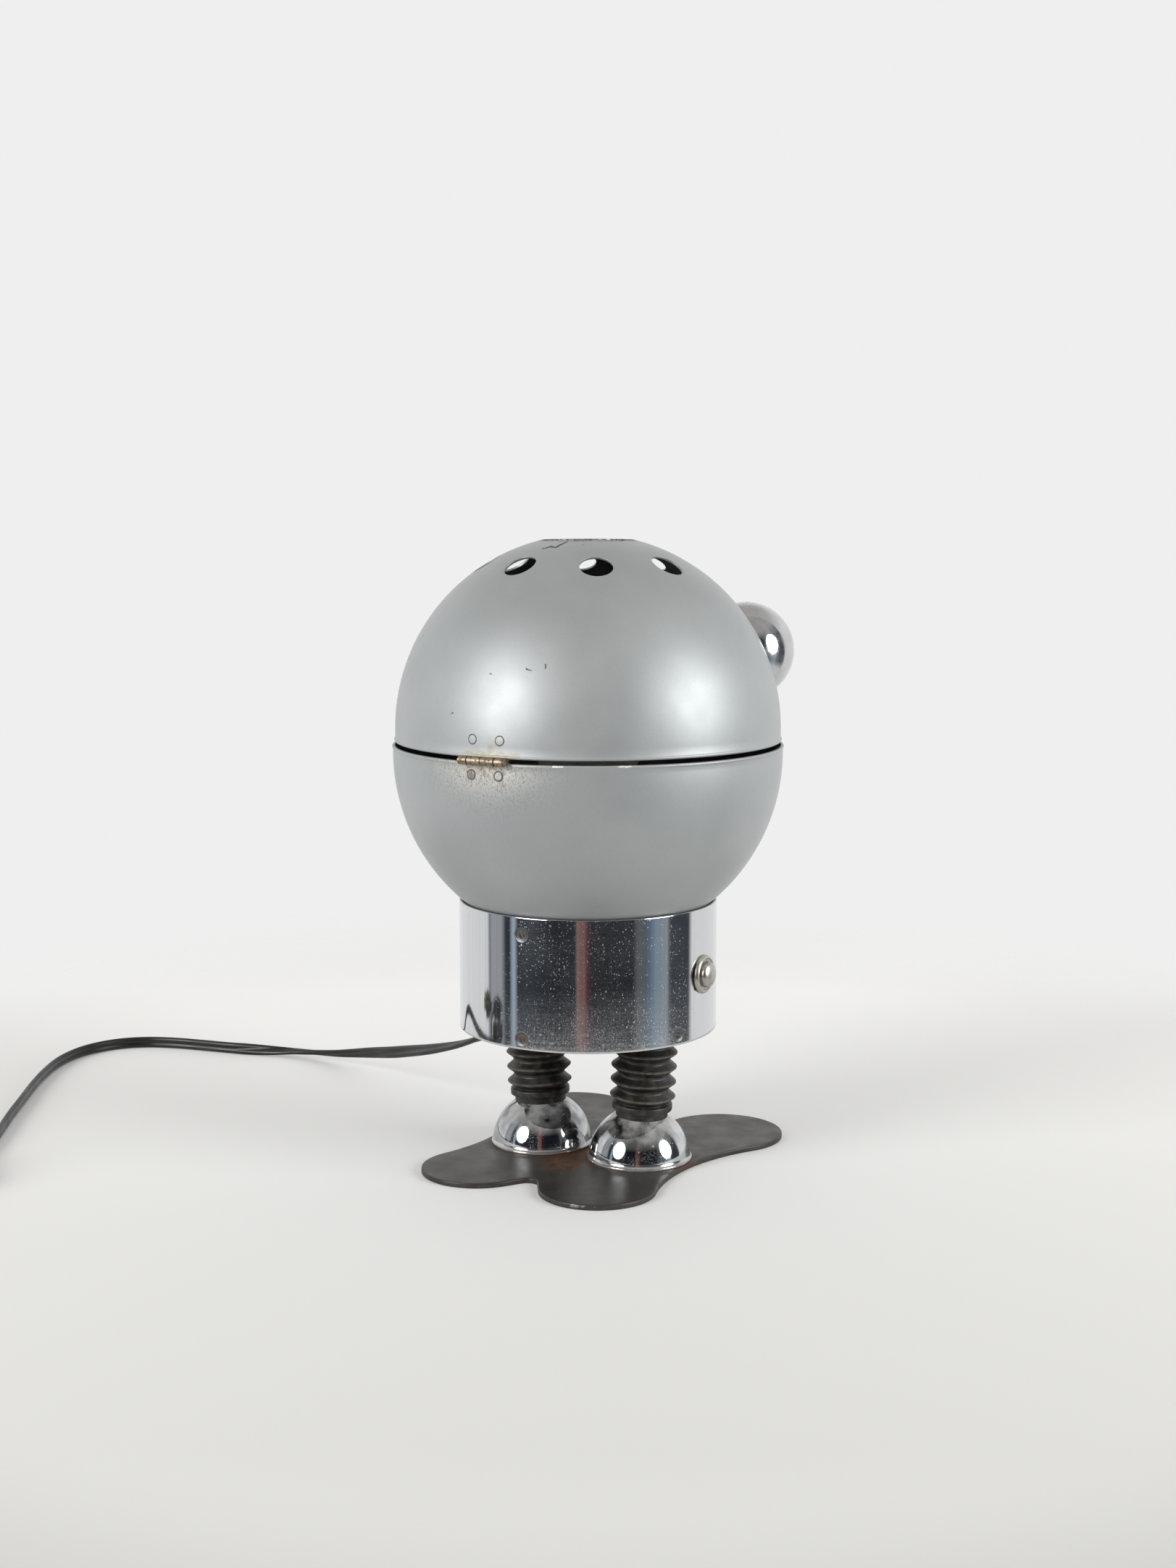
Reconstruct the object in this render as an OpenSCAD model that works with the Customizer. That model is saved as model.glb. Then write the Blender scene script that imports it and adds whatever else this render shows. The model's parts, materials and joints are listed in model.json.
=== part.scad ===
// Robot shaped desk lamp.
// A ball head in two pressed steel halves, hinged at the back, sits in a chromed tube body.
// The body stands on two threaded legs in rubber bellows, over chromed ankle domes and one
// plate cut like a pair of feet.
// Millimetres, +Z up. The origin is on the surface the lamp stands on, under the body's axis.
// The robot faces -Y, so the hinge is at +Y and the robot's right hand side is at -X.

/* [Foot plate] */
// Thickness of the foot plate
plate_t = 2; // [1.6:0.1:3]
// Radius of each round heel
heel_r = 22.3; // [21:0.1:24]
// Distance of each heel's centre from the middle line
heel_x = 26.1; // [25.5:0.1:28]
// Distance of the heels' centres behind the body's axis
heel_y = 39.1; // [36:0.1:42]
// Radius of each round toe
toe_r = 24.5; // [22:0.1:26]
// Distance of each toe's centre from the middle line
toe_x = 34.5; // [31:0.1:37]
// Distance of the toes' centres in front of the body's axis
toe_y = 49.5; // [45:0.1:54]
// Radius of the hollow at the outer side of each foot
waist_r = 80; // [60:1:110]
// Radius of the notch between the heels
heel_notch_r = 4; // [2.5:0.1:4.5]
// Distance of the heel notch's centre behind the body's axis
heel_notch_y = 47; // [44:0.5:50]
// Radius of the notch between the toes
toe_notch_r = 3; // [2:0.1:4]
// Distance of the toe notch's centre in front of the body's axis
toe_notch_y = 25; // [20:0.5:32]

/* [Legs] */
// Distance of each ankle from the middle line
ankle_x = 22; // [21.5:0.1:23]
// Distance of the ankles in front of the body's axis
ankle_y = 2; // [0:0.5:4]
// Angle by which each leg leans outwards
leg_splay = 3; // [0:0.5:4]
// Radius of the threaded leg rods
rod_r = 5; // [4:0.1:5]
// Outer radius of the ankle domes
dome_r = 19.9; // [18.5:0.1:20.5]
// Wall of the ankle domes
dome_t = 1; // [0.6:0.1:1.4]
// Width of the ankle domes' flat rim
dome_rim = 0.6; // [0.3:0.1:0.9]
// Outer radius of the bellows' ridges
ridge_r = 12.75; // [12:0.05:13.2]
// Outer radius of the bellows' valleys
valley_r = 10.15; // [9.8:0.05:10.8]
// Distance from ridge to ridge
ridge_pitch = 5.9; // [5.4:0.05:6]
// Number of ridges
ridge_count = 5; // [3:1:5]
// Height of the lowest ridge above the plate
ridge_low = 25.3; // [25:0.1:26]
// Radius of the bellows' collar
collar_r = 11.75; // [11:0.05:12.2]
// Wall of the bellows
bellows_t = 1.3; // [1:0.05:1.5]

/* [Body] */
// Height of the body's lower edge above the foot plate
leg_h = 51.6; // [50:0.1:56]
// Outer radius of the tube body
body_r = 50.2; // [49.5:0.1:53]
// Wall of the tube body
body_t = 1.2; // [0.9:0.1:1.5]
// Height of the tube body
body_h = 50.1; // [48:0.1:56]
// Thickness of the base plate
base_t = 1.2; // [1:0.1:1.6]
// Distance of the base plate above the body's lower edge
base_inset = 0.8; // [0.5:0.1:1.5]
// Height of the base plate's turned up flange
base_flange = 7.6; // [7:0.1:10]
// Number of screws round the base plate
base_screws = 5; // [3:1:6]
// Height of the base plate's screws above the body's lower edge
base_screw_h = 4.1; // [3.8:0.1:5]
// Distance of the bracket's screws below the body's upper edge
bracket_screw_h = 6.5; // [5:0.1:8]
// Thickness of the bracket that carries the head
bracket_t = 1.5; // [1:0.1:2]
// Width of the bracket
bracket_w = 18; // [15:0.5:22]
// Radius of the body screws' shanks
screw_r = 1.1; // [0.9:0.05:1.2]
// Radius of the body screws' countersunk heads
screw_head_r = 2.1; // [1.8:0.1:2.4]

/* [Head] */
// Outer radius of the lower half of the head
head_r = 75; // [73:0.5:78]
// Distance by which the upper half is smaller all round than the lower half
rim_step = 0.9; // [0.7:0.1:1.5]
// Wall of both halves
head_t = 1; // [0.8:0.05:1.2]
// Straight height at the rim of the lower half
lower_skirt = 3.2; // [2.5:0.1:4.5]
// Straight height at the rim of the upper half
upper_skirt = 4.4; // [3.5:0.1:5.5]
// Open seam between the two halves
seam = 1.5; // [1.5:0.1:2.5]
// Radius of the bead along the upper rim
upper_bead_r = 0.7; // [0.6:0.05:0.8]
// Radius of the bead along the lower rim
lower_bead_r = 0.6; // [0.5:0.05:0.7]
// Radius of the opening at the top
top_hole_r = 17.25; // [14:0.25:20]
// Radius of each vent hole
vent_r = 6.25; // [4:0.25:7.5]
// Number of vent holes
vent_count = 8; // [6:1:10]
// Height of the vent holes round the ball, in degrees
vent_lat = 58.5; // [55:0.5:62]
// Turn of the first vent hole from the hinge, in degrees
vent_turn = 34; // [22:1:45]

/* [Eyes] */
// Outer radius of the half ball eyes
eye_r = 19.2; // [16:0.1:21]
// Wall of the eyes
eye_t = 1; // [0.7:0.1:1.3]
// Angle of each eye from straight ahead
eye_turn = 41; // [36:0.5:48]
// Height of the eyes round the ball, in degrees
eye_lat = 23.2; // [21:0.5:28]
// Radius of the eyes' studs
eye_stud_r = 2; // [1.5:0.1:2.5]

/* [Hinge] */
// Width of the hinge
hinge_w = 18.5; // [16:0.5:22]
// Width of the hinge's two outer knuckles
outer_knuckle_w = 3.5; // [3:0.1:4.5]
// Outer radius of the knuckles
knuckle_r = 1.6; // [1.5:0.05:1.9]
// Radius of the hinge pin
pin_r = 0.8; // [0.7:0.05:0.9]
// Thickness of the hinge leaves
leaf_t = 0.6; // [0.4:0.05:0.6]
// Length of the leaves inside the shells
leaf_l = 9; // [8:0.1:11]
// Distance of the upper rivets above the seam's middle
rivet_up = 7.3; // [6.9:0.1:7.5]
// Distance of the lower rivets below the seam's middle
rivet_down = 5.3; // [3.9:0.1:5.4]
// Distance of each rivet from the hinge's middle
rivet_x = 5.7; // [5:0.1:7]
// Radius of the rivets' shanks
rivet_r = 1; // [0.8:0.05:1.2]
// Radius of the rivets' heads
rivet_head_r = 1.7; // [1.5:0.05:2]

/* [Lampholder] */
// Outer radius of the threaded tube under the lampholder
nipple_r = 5; // [4.8:0.1:5]
// Bore of the threaded tube
nipple_bore_r = 3.4; // [3.1:0.1:3.5]
// Outer radius of the lampholder
holder_r = 19.5; // [18.5:0.1:22]
// Height of the lampholder's lower cap
holder_cap_h = 9.8; // [9:0.1:13]
// Height of the lampholder's sleeve
holder_body_h = 32; // [28:0.5:36]
// Outer radius of the bulb's screw cap
bulb_cap_r = 13.1; // [12.8:0.1:13.3]
// Radius of the bulb's round end
bulb_r = 30; // [22:0.5:32]
// Height of the bulb's round end above its cap
bulb_h = 49.5; // [42:0.5:54]
// Wall of the bulb's glass
glass_t = 0.8; // [0.5:0.1:1]

/* [Switch] */
// Height of the push button above the body's lower edge
switch_h = 24.7; // [22:0.1:26]
// Radius of the push button
button_r = 4.9; // [4.3:0.1:5]
// Distance by which the button stands out of its ring
button_out = 2.9; // [2.9:0.1:3.5]
// Travel of the button
button_travel = 2; // [1.5:0.1:2]
// Outer radius of the ring round the button
bezel_r = 7.4; // [7.1:0.1:8.5]
// Thickness of the ring
bezel_t = 1.6; // [1.2:0.1:2]
// Radius of the switch's threaded bush
bush_r = 6; // [5.8:0.1:6.4]
// Width and height of the switch's housing
housing_w = 17; // [14:0.5:18]
// Depth of the switch's housing
housing_l = 15; // [12:0.5:17]

/* [Cord] */
// Width of the flat twin cord
cord_w = 5.2; // [4.8:0.1:5.4]
// Thickness of the flat twin cord
cord_t = 2.6; // [2.4:0.1:2.7]
// Angle of the cord bush's nose from straight down
nose_tilt = 50; // [45:1:55]
// Length of the cord bush's nose
nose_l = 15; // [14:0.5:16]
// Radius of the coil at the middle of its turns
coil_r = 27.7; // [26:0.1:30]
// Number of turns side by side in each of the coil's two layers
coil_turns = 4; // [3:1:4]

/* [Hidden] */
$fn = 96;

// Clearances: a running fit, a seated fit, and a gap that is only there to keep solids apart
run_fit = 0.05;
seat_fit = 0.05;
hole_fit = 0.15;
cut = 1;                        // how far a cutting tool reaches past a face
big = 400;                      // larger than the whole lamp

silver = "silver";
chrome = "gainsboro";
brass = "darkkhaki";
black = "dimgray";
rubber = "darkslategray";

// Heights, from the surface upwards
body_z = plate_t + leg_h;                                   // body's lower edge
base_z = body_z + base_inset;                               // base plate's underside
body_top = body_z + body_h;
body_in_r = body_r - body_t;
head_fit = 0.3;                                             // gap round the ball in the body's rim
head_z = body_top + sqrt(pow(head_r, 2) - pow(body_in_r - head_fit, 2));
lower_rim = head_z + lower_skirt;
upper_rim = lower_rim + seam;
crown_z = upper_rim + upper_skirt;                          // centre of the upper half
crown_r = head_r - rim_step;                                // outer radius of the upper half
pole_z = head_z - head_r;                                   // lowest point of the ball

// Stack at the ball's lowest point
pole_hole_r = nipple_r + hole_fit;
spacer_h = 2.2;
bracket_top = pole_z - spacer_h;
bracket_z = bracket_top - bracket_t;
spacer_r = 9;
washer_r = 8;
washer_t = 1;
nut_t = 3;                                                  // thin nuts on the nipple
nut_af = 14;                                                // their width across flats
washer_z = head_z - sqrt(pow(head_r - head_t, 2) - pow(washer_r, 2)) + seat_fit;
top_nut_z = washer_z + washer_t;
holder_z = top_nut_z + nut_t;                               // underside of the lampholder
nipple_out = 0.5;                                           // end of the nipple below its lower nut
nipple_in = 3;                                              // its other end inside the lampholder
nipple_z = bracket_z - nut_t - nipple_out;
nipple_top = holder_z + nipple_in;

// Lampholder and bulb
holder_wall = 2.45;
insert_t = 6;
insert_sunk = 3;                                            // depth of the insert in the cap
face_gap = 0.02;                                            // between faces that meet
insert_z = holder_z + holder_cap_h - insert_sunk;
sleeve_z = holder_z + holder_cap_h + face_gap;
contact_z = insert_z + insert_t + face_gap;
contact_t = 2.2;
thread_gap = 0.9;                                           // between the bulb's cap and the liner
thread_t = 0.6;
bulb_z = contact_z + contact_t + seat_fit;                  // the bulb's contact
bulb_shell_z = bulb_z + 5.5;
bulb_shell_h = 20;
bulb_neck_z = bulb_shell_z + bulb_shell_h;
bulb_ball_z = bulb_neck_z + bulb_h;
bulb_neck_r = bulb_cap_r - 0.6;

// Hinge
hinge_z = lower_rim + seam / 2;
hinge_y = head_r + knuckle_r + 0.3;
leaf_gap = 0.07;                                            // from the seam's middle to each leaf
knuckle_gap = 0.2;
high_rivet_z = hinge_z + rivet_up;
low_rivet_z = hinge_z - rivet_down;

// Switch, along -X from the body's wall
switch_z = body_z + switch_h;
bezel_x = body_r + face_gap;                                // seat of the ring
bezel_front = bezel_x + bezel_t;
switch_nut_af = 14.6;
switch_nut_t = 2.5;
switch_nut_x = sqrt(pow(body_in_r, 2) - pow(switch_nut_af / sqrt(3), 2)) - seat_fit;
bush_neck = 3;                                              // of the bush between nut and housing
housing_x = switch_nut_x - switch_nut_t - bush_neck;        // outer face of the housing
bush_floor = 1.2;
foot_gap = 0.5;                                             // left under the plunger when it is pushed in
plunger_z = housing_x + bush_floor + foot_gap + button_travel;
plunger_fit = 0.08;
stem_r = 2;
stem_l = 5;                                                 // of the stem inside the housing

// ---- helpers -------------------------------------------------------------------------------

function unit(v) = v / norm(v);

// Centre of a circle of radius r that touches circles a and b from outside, to their right
function touching(a, ra, b, rb, r) =
    let (d = norm(b - a), along = (pow(r + ra, 2) - pow(r + rb, 2) + d * d) / (2 * d),
         off = sqrt(pow(r + ra, 2) - along * along), u = (b - a) / d)
    a + along * u + off * [u[1], -u[0]];

// The two touching points of the line that passes between circle n (on its right) and circle c
function cross_tangent(n, rn, c, rc, side) =
    let (v = c - n, turn = asin((rn + rc) / norm(v)), base = atan2(v[1], v[0]),
         dir = base + side * turn, off = [cos(dir + side * 90), sin(dir + side * 90)])
    [n - rn * off, c + rc * off];

// Ring of given radii and height
module ring(outer, inner, h) {
    difference() {
        cylinder(r = outer, h = h);
        translate([0, 0, -cut]) cylinder(r = inner, h = h + 2 * cut);
    }
}

// Hexagon nut of width across flats af
module hex_nut(af, bore, h) {
    difference() {
        cylinder(r = af / sqrt(3), h = h, $fn = 6);
        translate([0, 0, -cut]) cylinder(r = bore, h = h + 2 * cut, $fn = 48);
    }
}

// Everything above (or below) height z
module above(z) { translate([-big / 2, -big / 2, z]) cube([big, big, big]); }
module below(z) { translate([-big / 2, -big / 2, z - big]) cube([big, big, big]); }

// Places children on the ball around height z, turned from the hinge towards the robot's right,
// with +Z pointing outwards at latitude lat
module on_ball(z, turn, lat) {
    translate([0, 0, z]) rotate([0, 0, turn]) rotate([lat - 90, 0, 0]) children();
}

// Places children at the foot of a leg, leaning with it; side is 1 at the robot's left
module on_leg(side) {
    translate([side * ankle_x, -ankle_y, plate_t]) rotate([0, side * leg_splay, 0]) children();
}

// Pressed hemisphere with a straight skirt below it, solid
module bowl(r, skirt) {
    intersection() {
        sphere(r = r);
        above(0);
    }
    translate([0, 0, -skirt]) cylinder(r = r, h = skirt);
}

// Its wall
module bowl_wall(r, skirt) {
    difference() {
        bowl(r, skirt);
        bowl(r - head_t, skirt + cut);
    }
}

// Round bead of radius r along a rim, standing out by a third of its width
module rim_bead(rim_r, r) {
    rotate_extrude() translate([rim_r - r * 0.4, 0]) circle(r = r, $fn = 32);
}

// Rivet along +Z with its low round head outside height 0 and a flat head at the far end
module rivet(grip) {
    rise = 0.5;
    ball = (pow(rivet_head_r, 2) + rise * rise) / (2 * rise);
    intersection() {
        translate([0, 0, rise - ball]) sphere(r = ball);
        translate([0, 0, 0]) cylinder(r = 3 * rivet_head_r, h = 2 * rise);
    }
    translate([0, 0, -grip - 0.5]) cylinder(r = rivet_r, h = grip + 0.5 + 0.2);
    translate([0, 0, -grip - 0.5]) cylinder(r = rivet_head_r * 0.9, h = 0.5);
}

// Countersunk screw along +Z: head sunk below height 0
module sunk_screw(sink, length) {
    head_h = screw_head_r - screw_r;
    difference() {
        union() {
            translate([0, 0, -sink - head_h]) cylinder(r1 = screw_r, r2 = screw_head_r, h = head_h);
            translate([0, 0, -length]) cylinder(r = screw_r, h = length - sink - head_h + 0.1);
        }
        translate([-screw_head_r - cut, -0.3, -sink - 0.4]) cube([2 * screw_head_r + 2 * cut, 0.6, cut]);
    }
}

// Its dimpled hole
module sunk_hole(sink) {
    head_h = screw_head_r - screw_r;
    translate([0, 0, -sink - head_h])
        cylinder(r1 = screw_r + hole_fit, r2 = screw_head_r + hole_fit, h = head_h);
    translate([0, 0, -sink]) cylinder(r = screw_head_r + hole_fit, h = sink + cut);
    translate([0, 0, -4]) cylinder(r = screw_r + hole_fit, h = 4);
}

// Places children on the body's wall at height z, +Z pointing outwards
module on_body(z, turn) {
    translate([0, 0, z]) rotate([0, 0, turn]) translate([0, body_r, 0]) rotate([-90, 0, 0]) children();
}

// Sweeps a flat section w by t, rolled by roll(i) degrees, along points p
module flat_tube(p, w, t, rolls, sides = 8) {
    n = len(p);
    rings = [for (i = [0 : n - 1])
        let (dir = unit(p[min(i + 1, n - 1)] - p[max(i - 1, 0)]),
             across = unit(cross(dir, [0, 0, 1])), up = cross(across, dir),
             roll = lookup(i, rolls), broad = across * cos(roll) + up * sin(roll),
             thin = up * cos(roll) - across * sin(roll))
        for (k = [0 : sides - 1])
            let (a = 360 * (k + 0.5) / sides)
            p[i] + broad * cos(a) * w / 2 / cos(180 / sides) + thin * sin(a) * t / 2 / cos(180 / sides)];
    faces = concat(
        [[for (k = [0 : sides - 1]) k]],
        [for (i = [0 : n - 2]) for (k = [0 : sides - 1])
            let (a = i * sides + k, b = i * sides + (k + 1) % sides)
            for (f = [[a, a + sides, b], [b, a + sides, b + sides]]) f],
        [[for (k = [sides - 1 : -1 : 0]) (n - 1) * sides + k]]);
    polyhedron(points = rings, faces = faces);
}

// A point between p[i] and p[i + 1] on a smooth curve through all of p
function smooth_at(p, i, f) =
    let (n = len(p), a = p[max(i - 1, 0)], b = p[i], c = p[min(i + 1, n - 1)], d = p[min(i + 2, n - 1)])
    b + 0.5 * f * (c - a + f * (2 * a - 5 * b + 4 * c - d + f * (3 * (b - c) + d - a)));
function smooth(p, steps) =
    concat([for (i = [0 : len(p) - 2]) for (s = [0 : steps - 1]) smooth_at(p, i, s / steps)], [p[len(p) - 1]]);

// Round wire along points p
module wire(p, r, sides = 8) { flat_tube(p, 2 * r, 2 * r, [[0, 0]], sides); }

// ---- feet and legs -------------------------------------------------------------------------

// One foot of the plate in plan, on the robot's left
module foot_outline_left() {
    heel = [heel_x, heel_y];
    toe = [toe_x, -toe_y];
    waist = touching(toe, toe_r, heel, heel_r, waist_r);
    heel_notch = [0, heel_notch_y];
    toe_notch = [0, -toe_notch_y];
    back = cross_tangent(heel_notch, heel_notch_r, heel, heel_r, 1);
    front = cross_tangent(toe_notch, toe_notch_r, toe, toe_r, -1);
    linear_extrude(plate_t) polygon([toe_notch, front[0], front[1], toe, heel, back[1], back[0], heel_notch]);
    difference() {
        linear_extrude(plate_t) polygon([heel, toe, waist]);
        translate([waist[0], waist[1], -cut]) cylinder(r = waist_r, h = plate_t + 2 * cut, $fn = 180);
    }
    translate([heel[0], heel[1], 0]) cylinder(r = heel_r, h = plate_t);
    translate([toe[0], toe[1], 0]) cylinder(r = toe_r, h = plate_t);
}

foot_screw_r = 2;
foot_head_r = 3.8;
foot_head_h = 1.4;
foot_screw_l = 7;                                           // of thread in the rods

module foot_plate() {
    color(black) difference() {
        union() {
            foot_outline_left();
            mirror([1, 0, 0]) foot_outline_left();
        }
        translate([0, heel_notch_y, -cut]) cylinder(r = heel_notch_r, h = plate_t + 2 * cut);
        translate([0, -toe_notch_y, -cut]) cylinder(r = toe_notch_r, h = plate_t + 2 * cut);
        for (side = [-1, 1]) translate([side * ankle_x, -ankle_y, 0]) {
            translate([0, 0, -cut]) cylinder(r = foot_screw_r + hole_fit, h = plate_t + 2 * cut);
            cylinder(r1 = foot_head_r + hole_fit, r2 = foot_screw_r + hole_fit, h = foot_head_h + hole_fit);
        }
    }
}

// Countersunk screws, from below into the leg rods
module foot_screws() {
    color(chrome) for (side = [-1, 1]) translate([side * ankle_x, -ankle_y, 0]) {
        cylinder(r1 = foot_head_r, r2 = foot_screw_r, h = foot_head_h);
        translate([0, 0, foot_head_h - 0.1])
            cylinder(r = foot_screw_r, h = plate_t - foot_head_h + foot_screw_l);
    }
}

module ankle_dome(side) {
    color(chrome) difference() {
        translate([side * ankle_x, -ankle_y, plate_t]) {
            difference() {
                union() {
                    intersection() {
                        sphere(r = dome_r);
                        above(0);
                    }
                    cylinder(r = dome_r + dome_rim, h = 1);
                }
                sphere(r = dome_r - dome_t);
            }
        }
        on_leg(side) translate([0, 0, dome_r / 2]) cylinder(r = rod_r + 2 * hole_fit, h = dome_r);
    }
}
module ankle_dome_left() { ankle_dome(1); }
module ankle_dome_right() { ankle_dome(-1); }

ankle_nut_r = 8.1;                                          // over its corners
ankle_nut_t = 4;
ankle_nut_z = dome_r + ankle_nut_r * sin(leg_splay) + seat_fit;

module ankle_nuts() {
    color(chrome) for (side = [-1, 1])
        on_leg(side) translate([0, 0, ankle_nut_z])
            hex_nut(ankle_nut_r * sqrt(3), rod_r + seat_fit, ankle_nut_t);
}

rod_l = base_z + base_t - plate_t + 8.5;                    // past the nuts inside the body

module leg_rod(side) {
    color(chrome) difference() {
        on_leg(side) translate([0, 0, -2]) cylinder(r = rod_r, h = rod_l + 2);
        below(plate_t);
        translate([side * ankle_x, -ankle_y, 0])
            cylinder(r = foot_screw_r + seat_fit, h = plate_t + foot_screw_l + 1);
    }
}
module leg_rod_left() { leg_rod(1); }
module leg_rod_right() { leg_rod(-1); }

// Half section of the bellows, outer or inner side, from the bottom up
collar_h = 2.5;
collar_z = ridge_low - ridge_pitch / 2 - collar_h;
valley_half = 0.7;                                          // half the flat of each valley
ridge_half = 0.25;                                          // half the flat of each ridge
function folds(ridge, valley, flat) = [for (k = [0 : ridge_count - 1]) let (z = ridge_low + k * ridge_pitch)
    each [[valley, z - ridge_pitch / 2 + flat], [ridge, z - ridge_half], [ridge, z + ridge_half],
          [valley, z + ridge_pitch / 2 - flat]]];

module bellows(side) {
    top = leg_h + 3;                                        // cut off under the base plate below
    inner_ridge = ridge_r - bellows_t;
    inner_valley = valley_r - bellows_t;
    outer = concat(
        [[0, 0], [valley_r, 0], [valley_r, collar_z], [collar_r, collar_z], [collar_r, collar_z + collar_h]],
        folds(ridge_r, valley_r, valley_half), [[valley_r, top], [0, top]]);
    inner = concat([[0, -cut], [inner_valley, -cut]],
        folds(inner_ridge, inner_valley, valley_half), [[inner_valley, top + cut], [0, top + cut]]);
    color(rubber) difference() {
        on_leg(side) difference() {
            rotate_extrude() polygon(outer);
            rotate_extrude() polygon(inner);
        }
        translate([side * ankle_x, -ankle_y, plate_t]) {
            sphere(r = dome_r + seat_fit);
            translate([0, 0, -cut]) cylinder(r = 2 * dome_r, h = dome_r / 2);
        }
        above(base_z - seat_fit);
    }
}
module bellows_left() { bellows(1); }
module bellows_right() { bellows(-1); }

leg_washer_r = 10;
leg_washer_t = 1;
leg_nut_af = 17;
leg_nut_t = 5;
leg_washer_z = (base_z + base_t - plate_t) / cos(leg_splay) + leg_washer_r * tan(leg_splay) + seat_fit;

module leg_washers() {
    color(chrome) for (side = [-1, 1])
        on_leg(side) translate([0, 0, leg_washer_z]) ring(leg_washer_r, rod_r + seat_fit, leg_washer_t);
}

module leg_nuts() {
    color(chrome) for (side = [-1, 1])
        on_leg(side) translate([0, 0, leg_washer_z + leg_washer_t])
            hex_nut(leg_nut_af, rod_r + seat_fit, leg_nut_t);
}

// ---- body ----------------------------------------------------------------------------------

screw_sink = 0.3;
base_screw_z = body_z + base_screw_h;
bracket_screw_z = body_top - bracket_screw_h;
bush_hole_r = 4;                                            // hole for the cord's bush
bush_x = 37.5;
bush_y = -12.5;
nose_turn = -7.5;                                           // heading of the bush's nose

module base_plate() {
    outer = body_in_r - seat_fit;
    color(black) difference() {
        translate([0, 0, base_z]) cylinder(r = outer, h = base_t + base_flange);
        translate([0, 0, base_z + base_t]) cylinder(r = outer - base_t, h = base_flange + cut);
        for (side = [-1, 1]) on_leg(side) cylinder(r = rod_r + 2 * hole_fit, h = big);
        translate([bush_x, bush_y, 0]) cylinder(r = bush_hole_r + seat_fit, h = big);
        for (k = [0 : base_screws - 1]) on_body(base_screw_z, k * 360 / base_screws)
            translate([0, 0, -6]) cylinder(r = screw_r + seat_fit, h = 6);
    }
}

module base_plate_screws() {
    color(chrome) for (k = [0 : base_screws - 1])
        on_body(base_screw_z, k * 360 / base_screws) rotate([0, 0, 25 + 50 * k]) sunk_screw(screw_sink, 6);
}

module body_shell() {
    color(chrome) difference() {
        translate([0, 0, body_z]) ring(body_r, body_in_r, body_h);
        for (k = [0 : base_screws - 1]) on_body(base_screw_z, k * 360 / base_screws) sunk_hole(screw_sink);
        for (turn = [0, 180]) on_body(bracket_screw_z, turn) sunk_hole(screw_sink);
        translate([0, 0, switch_z]) rotate([0, -90, 0]) cylinder(r = bush_r + hole_fit, h = 2 * body_r);
    }
}

// Strap across the body, turned up at the front and back
module head_bracket() {
    outer = body_in_r - seat_fit;
    color(chrome) difference() {
        intersection() {
            translate([0, 0, bracket_z]) difference() {
                cylinder(r = outer, h = bracket_screw_z + 4 - bracket_z);
                translate([0, 0, bracket_t]) cylinder(r = outer - bracket_t, h = body_h);
            }
            translate([-bracket_w / 2, -big / 2, 0]) cube([bracket_w, big, big]);
        }
        cylinder(r = nipple_r + hole_fit, h = big);
        for (turn = [0, 180]) on_body(bracket_screw_z, turn)
            translate([0, 0, -6]) cylinder(r = screw_r + seat_fit, h = 6);
    }
}

module bracket_screws() {
    color(chrome) for (turn = [0, 180])
        on_body(bracket_screw_z, turn) rotate([0, 0, 60 + turn / 3]) sunk_screw(screw_sink, 6);
}

// ---- head, lower half ----------------------------------------------------------------------

module rivet_holes(z) {
    for (x = [-rivet_x, rivet_x]) translate([x, 0, z]) rotate([-90, 0, 0])
        cylinder(r = rivet_r + seat_fit, h = big / 2, $fn = 32);
}

module lower_head_shell() {
    color(silver) difference() {
        union() {
            translate([0, 0, head_z]) mirror([0, 0, 1]) bowl_wall(head_r, lower_skirt);
            translate([0, 0, lower_rim - lower_bead_r]) rim_bead(head_r, lower_bead_r);
        }
        translate([0, 0, pole_z - cut]) cylinder(r = pole_hole_r, h = 10);
        rivet_holes(low_rivet_z);
    }
}

// Small angles inside the lower rim on which the closed upper half would land
rest_turn = 25;
rest_w = 8;

module rim_rests() {
    inside = head_r - head_t - seat_fit - lower_bead_r * 0.4;
    color(silver) for (turn = [180 - rest_turn, 180 + rest_turn]) rotate([0, 0, turn]) intersection() {
        translate([0, 0, lower_rim - 4.2]) union() {
            ring(inside, inside - 0.8, 4.2 + seam - 0.3);
            translate([0, 0, 4.2 + 0.1]) ring(head_r - 0.2, inside - 0.8, seam - 0.4);
        }
        translate([-rest_w / 2, 0, 0]) cube([rest_w, big, big]);
    }
}

module bracket_spacer() {
    ball = head_z - sqrt(pow(head_r, 2) - pow(pole_hole_r, 2));
    color(chrome) translate([0, 0, bracket_top]) ring(spacer_r, nipple_r + seat_fit, ball - bracket_top - 0.03);
}

module nipple() {
    color(brass) translate([0, 0, nipple_z]) ring(nipple_r, nipple_bore_r, nipple_top - nipple_z);
}

module nipple_nuts() {
    color(brass) for (z = [bracket_z - nut_t, top_nut_z])
        translate([0, 0, z]) hex_nut(nut_af, nipple_r + seat_fit, nut_t);
}

module nipple_washer() {
    color(chrome) translate([0, 0, washer_z]) ring(washer_r, nipple_r + seat_fit, washer_t);
}

// ---- lampholder and bulb -------------------------------------------------------------------

module holder_cap() {
    color(black) translate([0, 0, holder_z]) difference() {
        cylinder(r = holder_r, h = holder_cap_h);
        translate([0, 0, -cut]) cylinder(r = nipple_r + seat_fit, h = holder_cap_h);
        translate([0, 0, 2]) cylinder(r = holder_r - holder_wall - 1.5, h = holder_cap_h);
        translate([0, 0, insert_z - holder_z]) cylinder(r = holder_r - holder_wall, h = holder_cap_h);
    }
}

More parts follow.
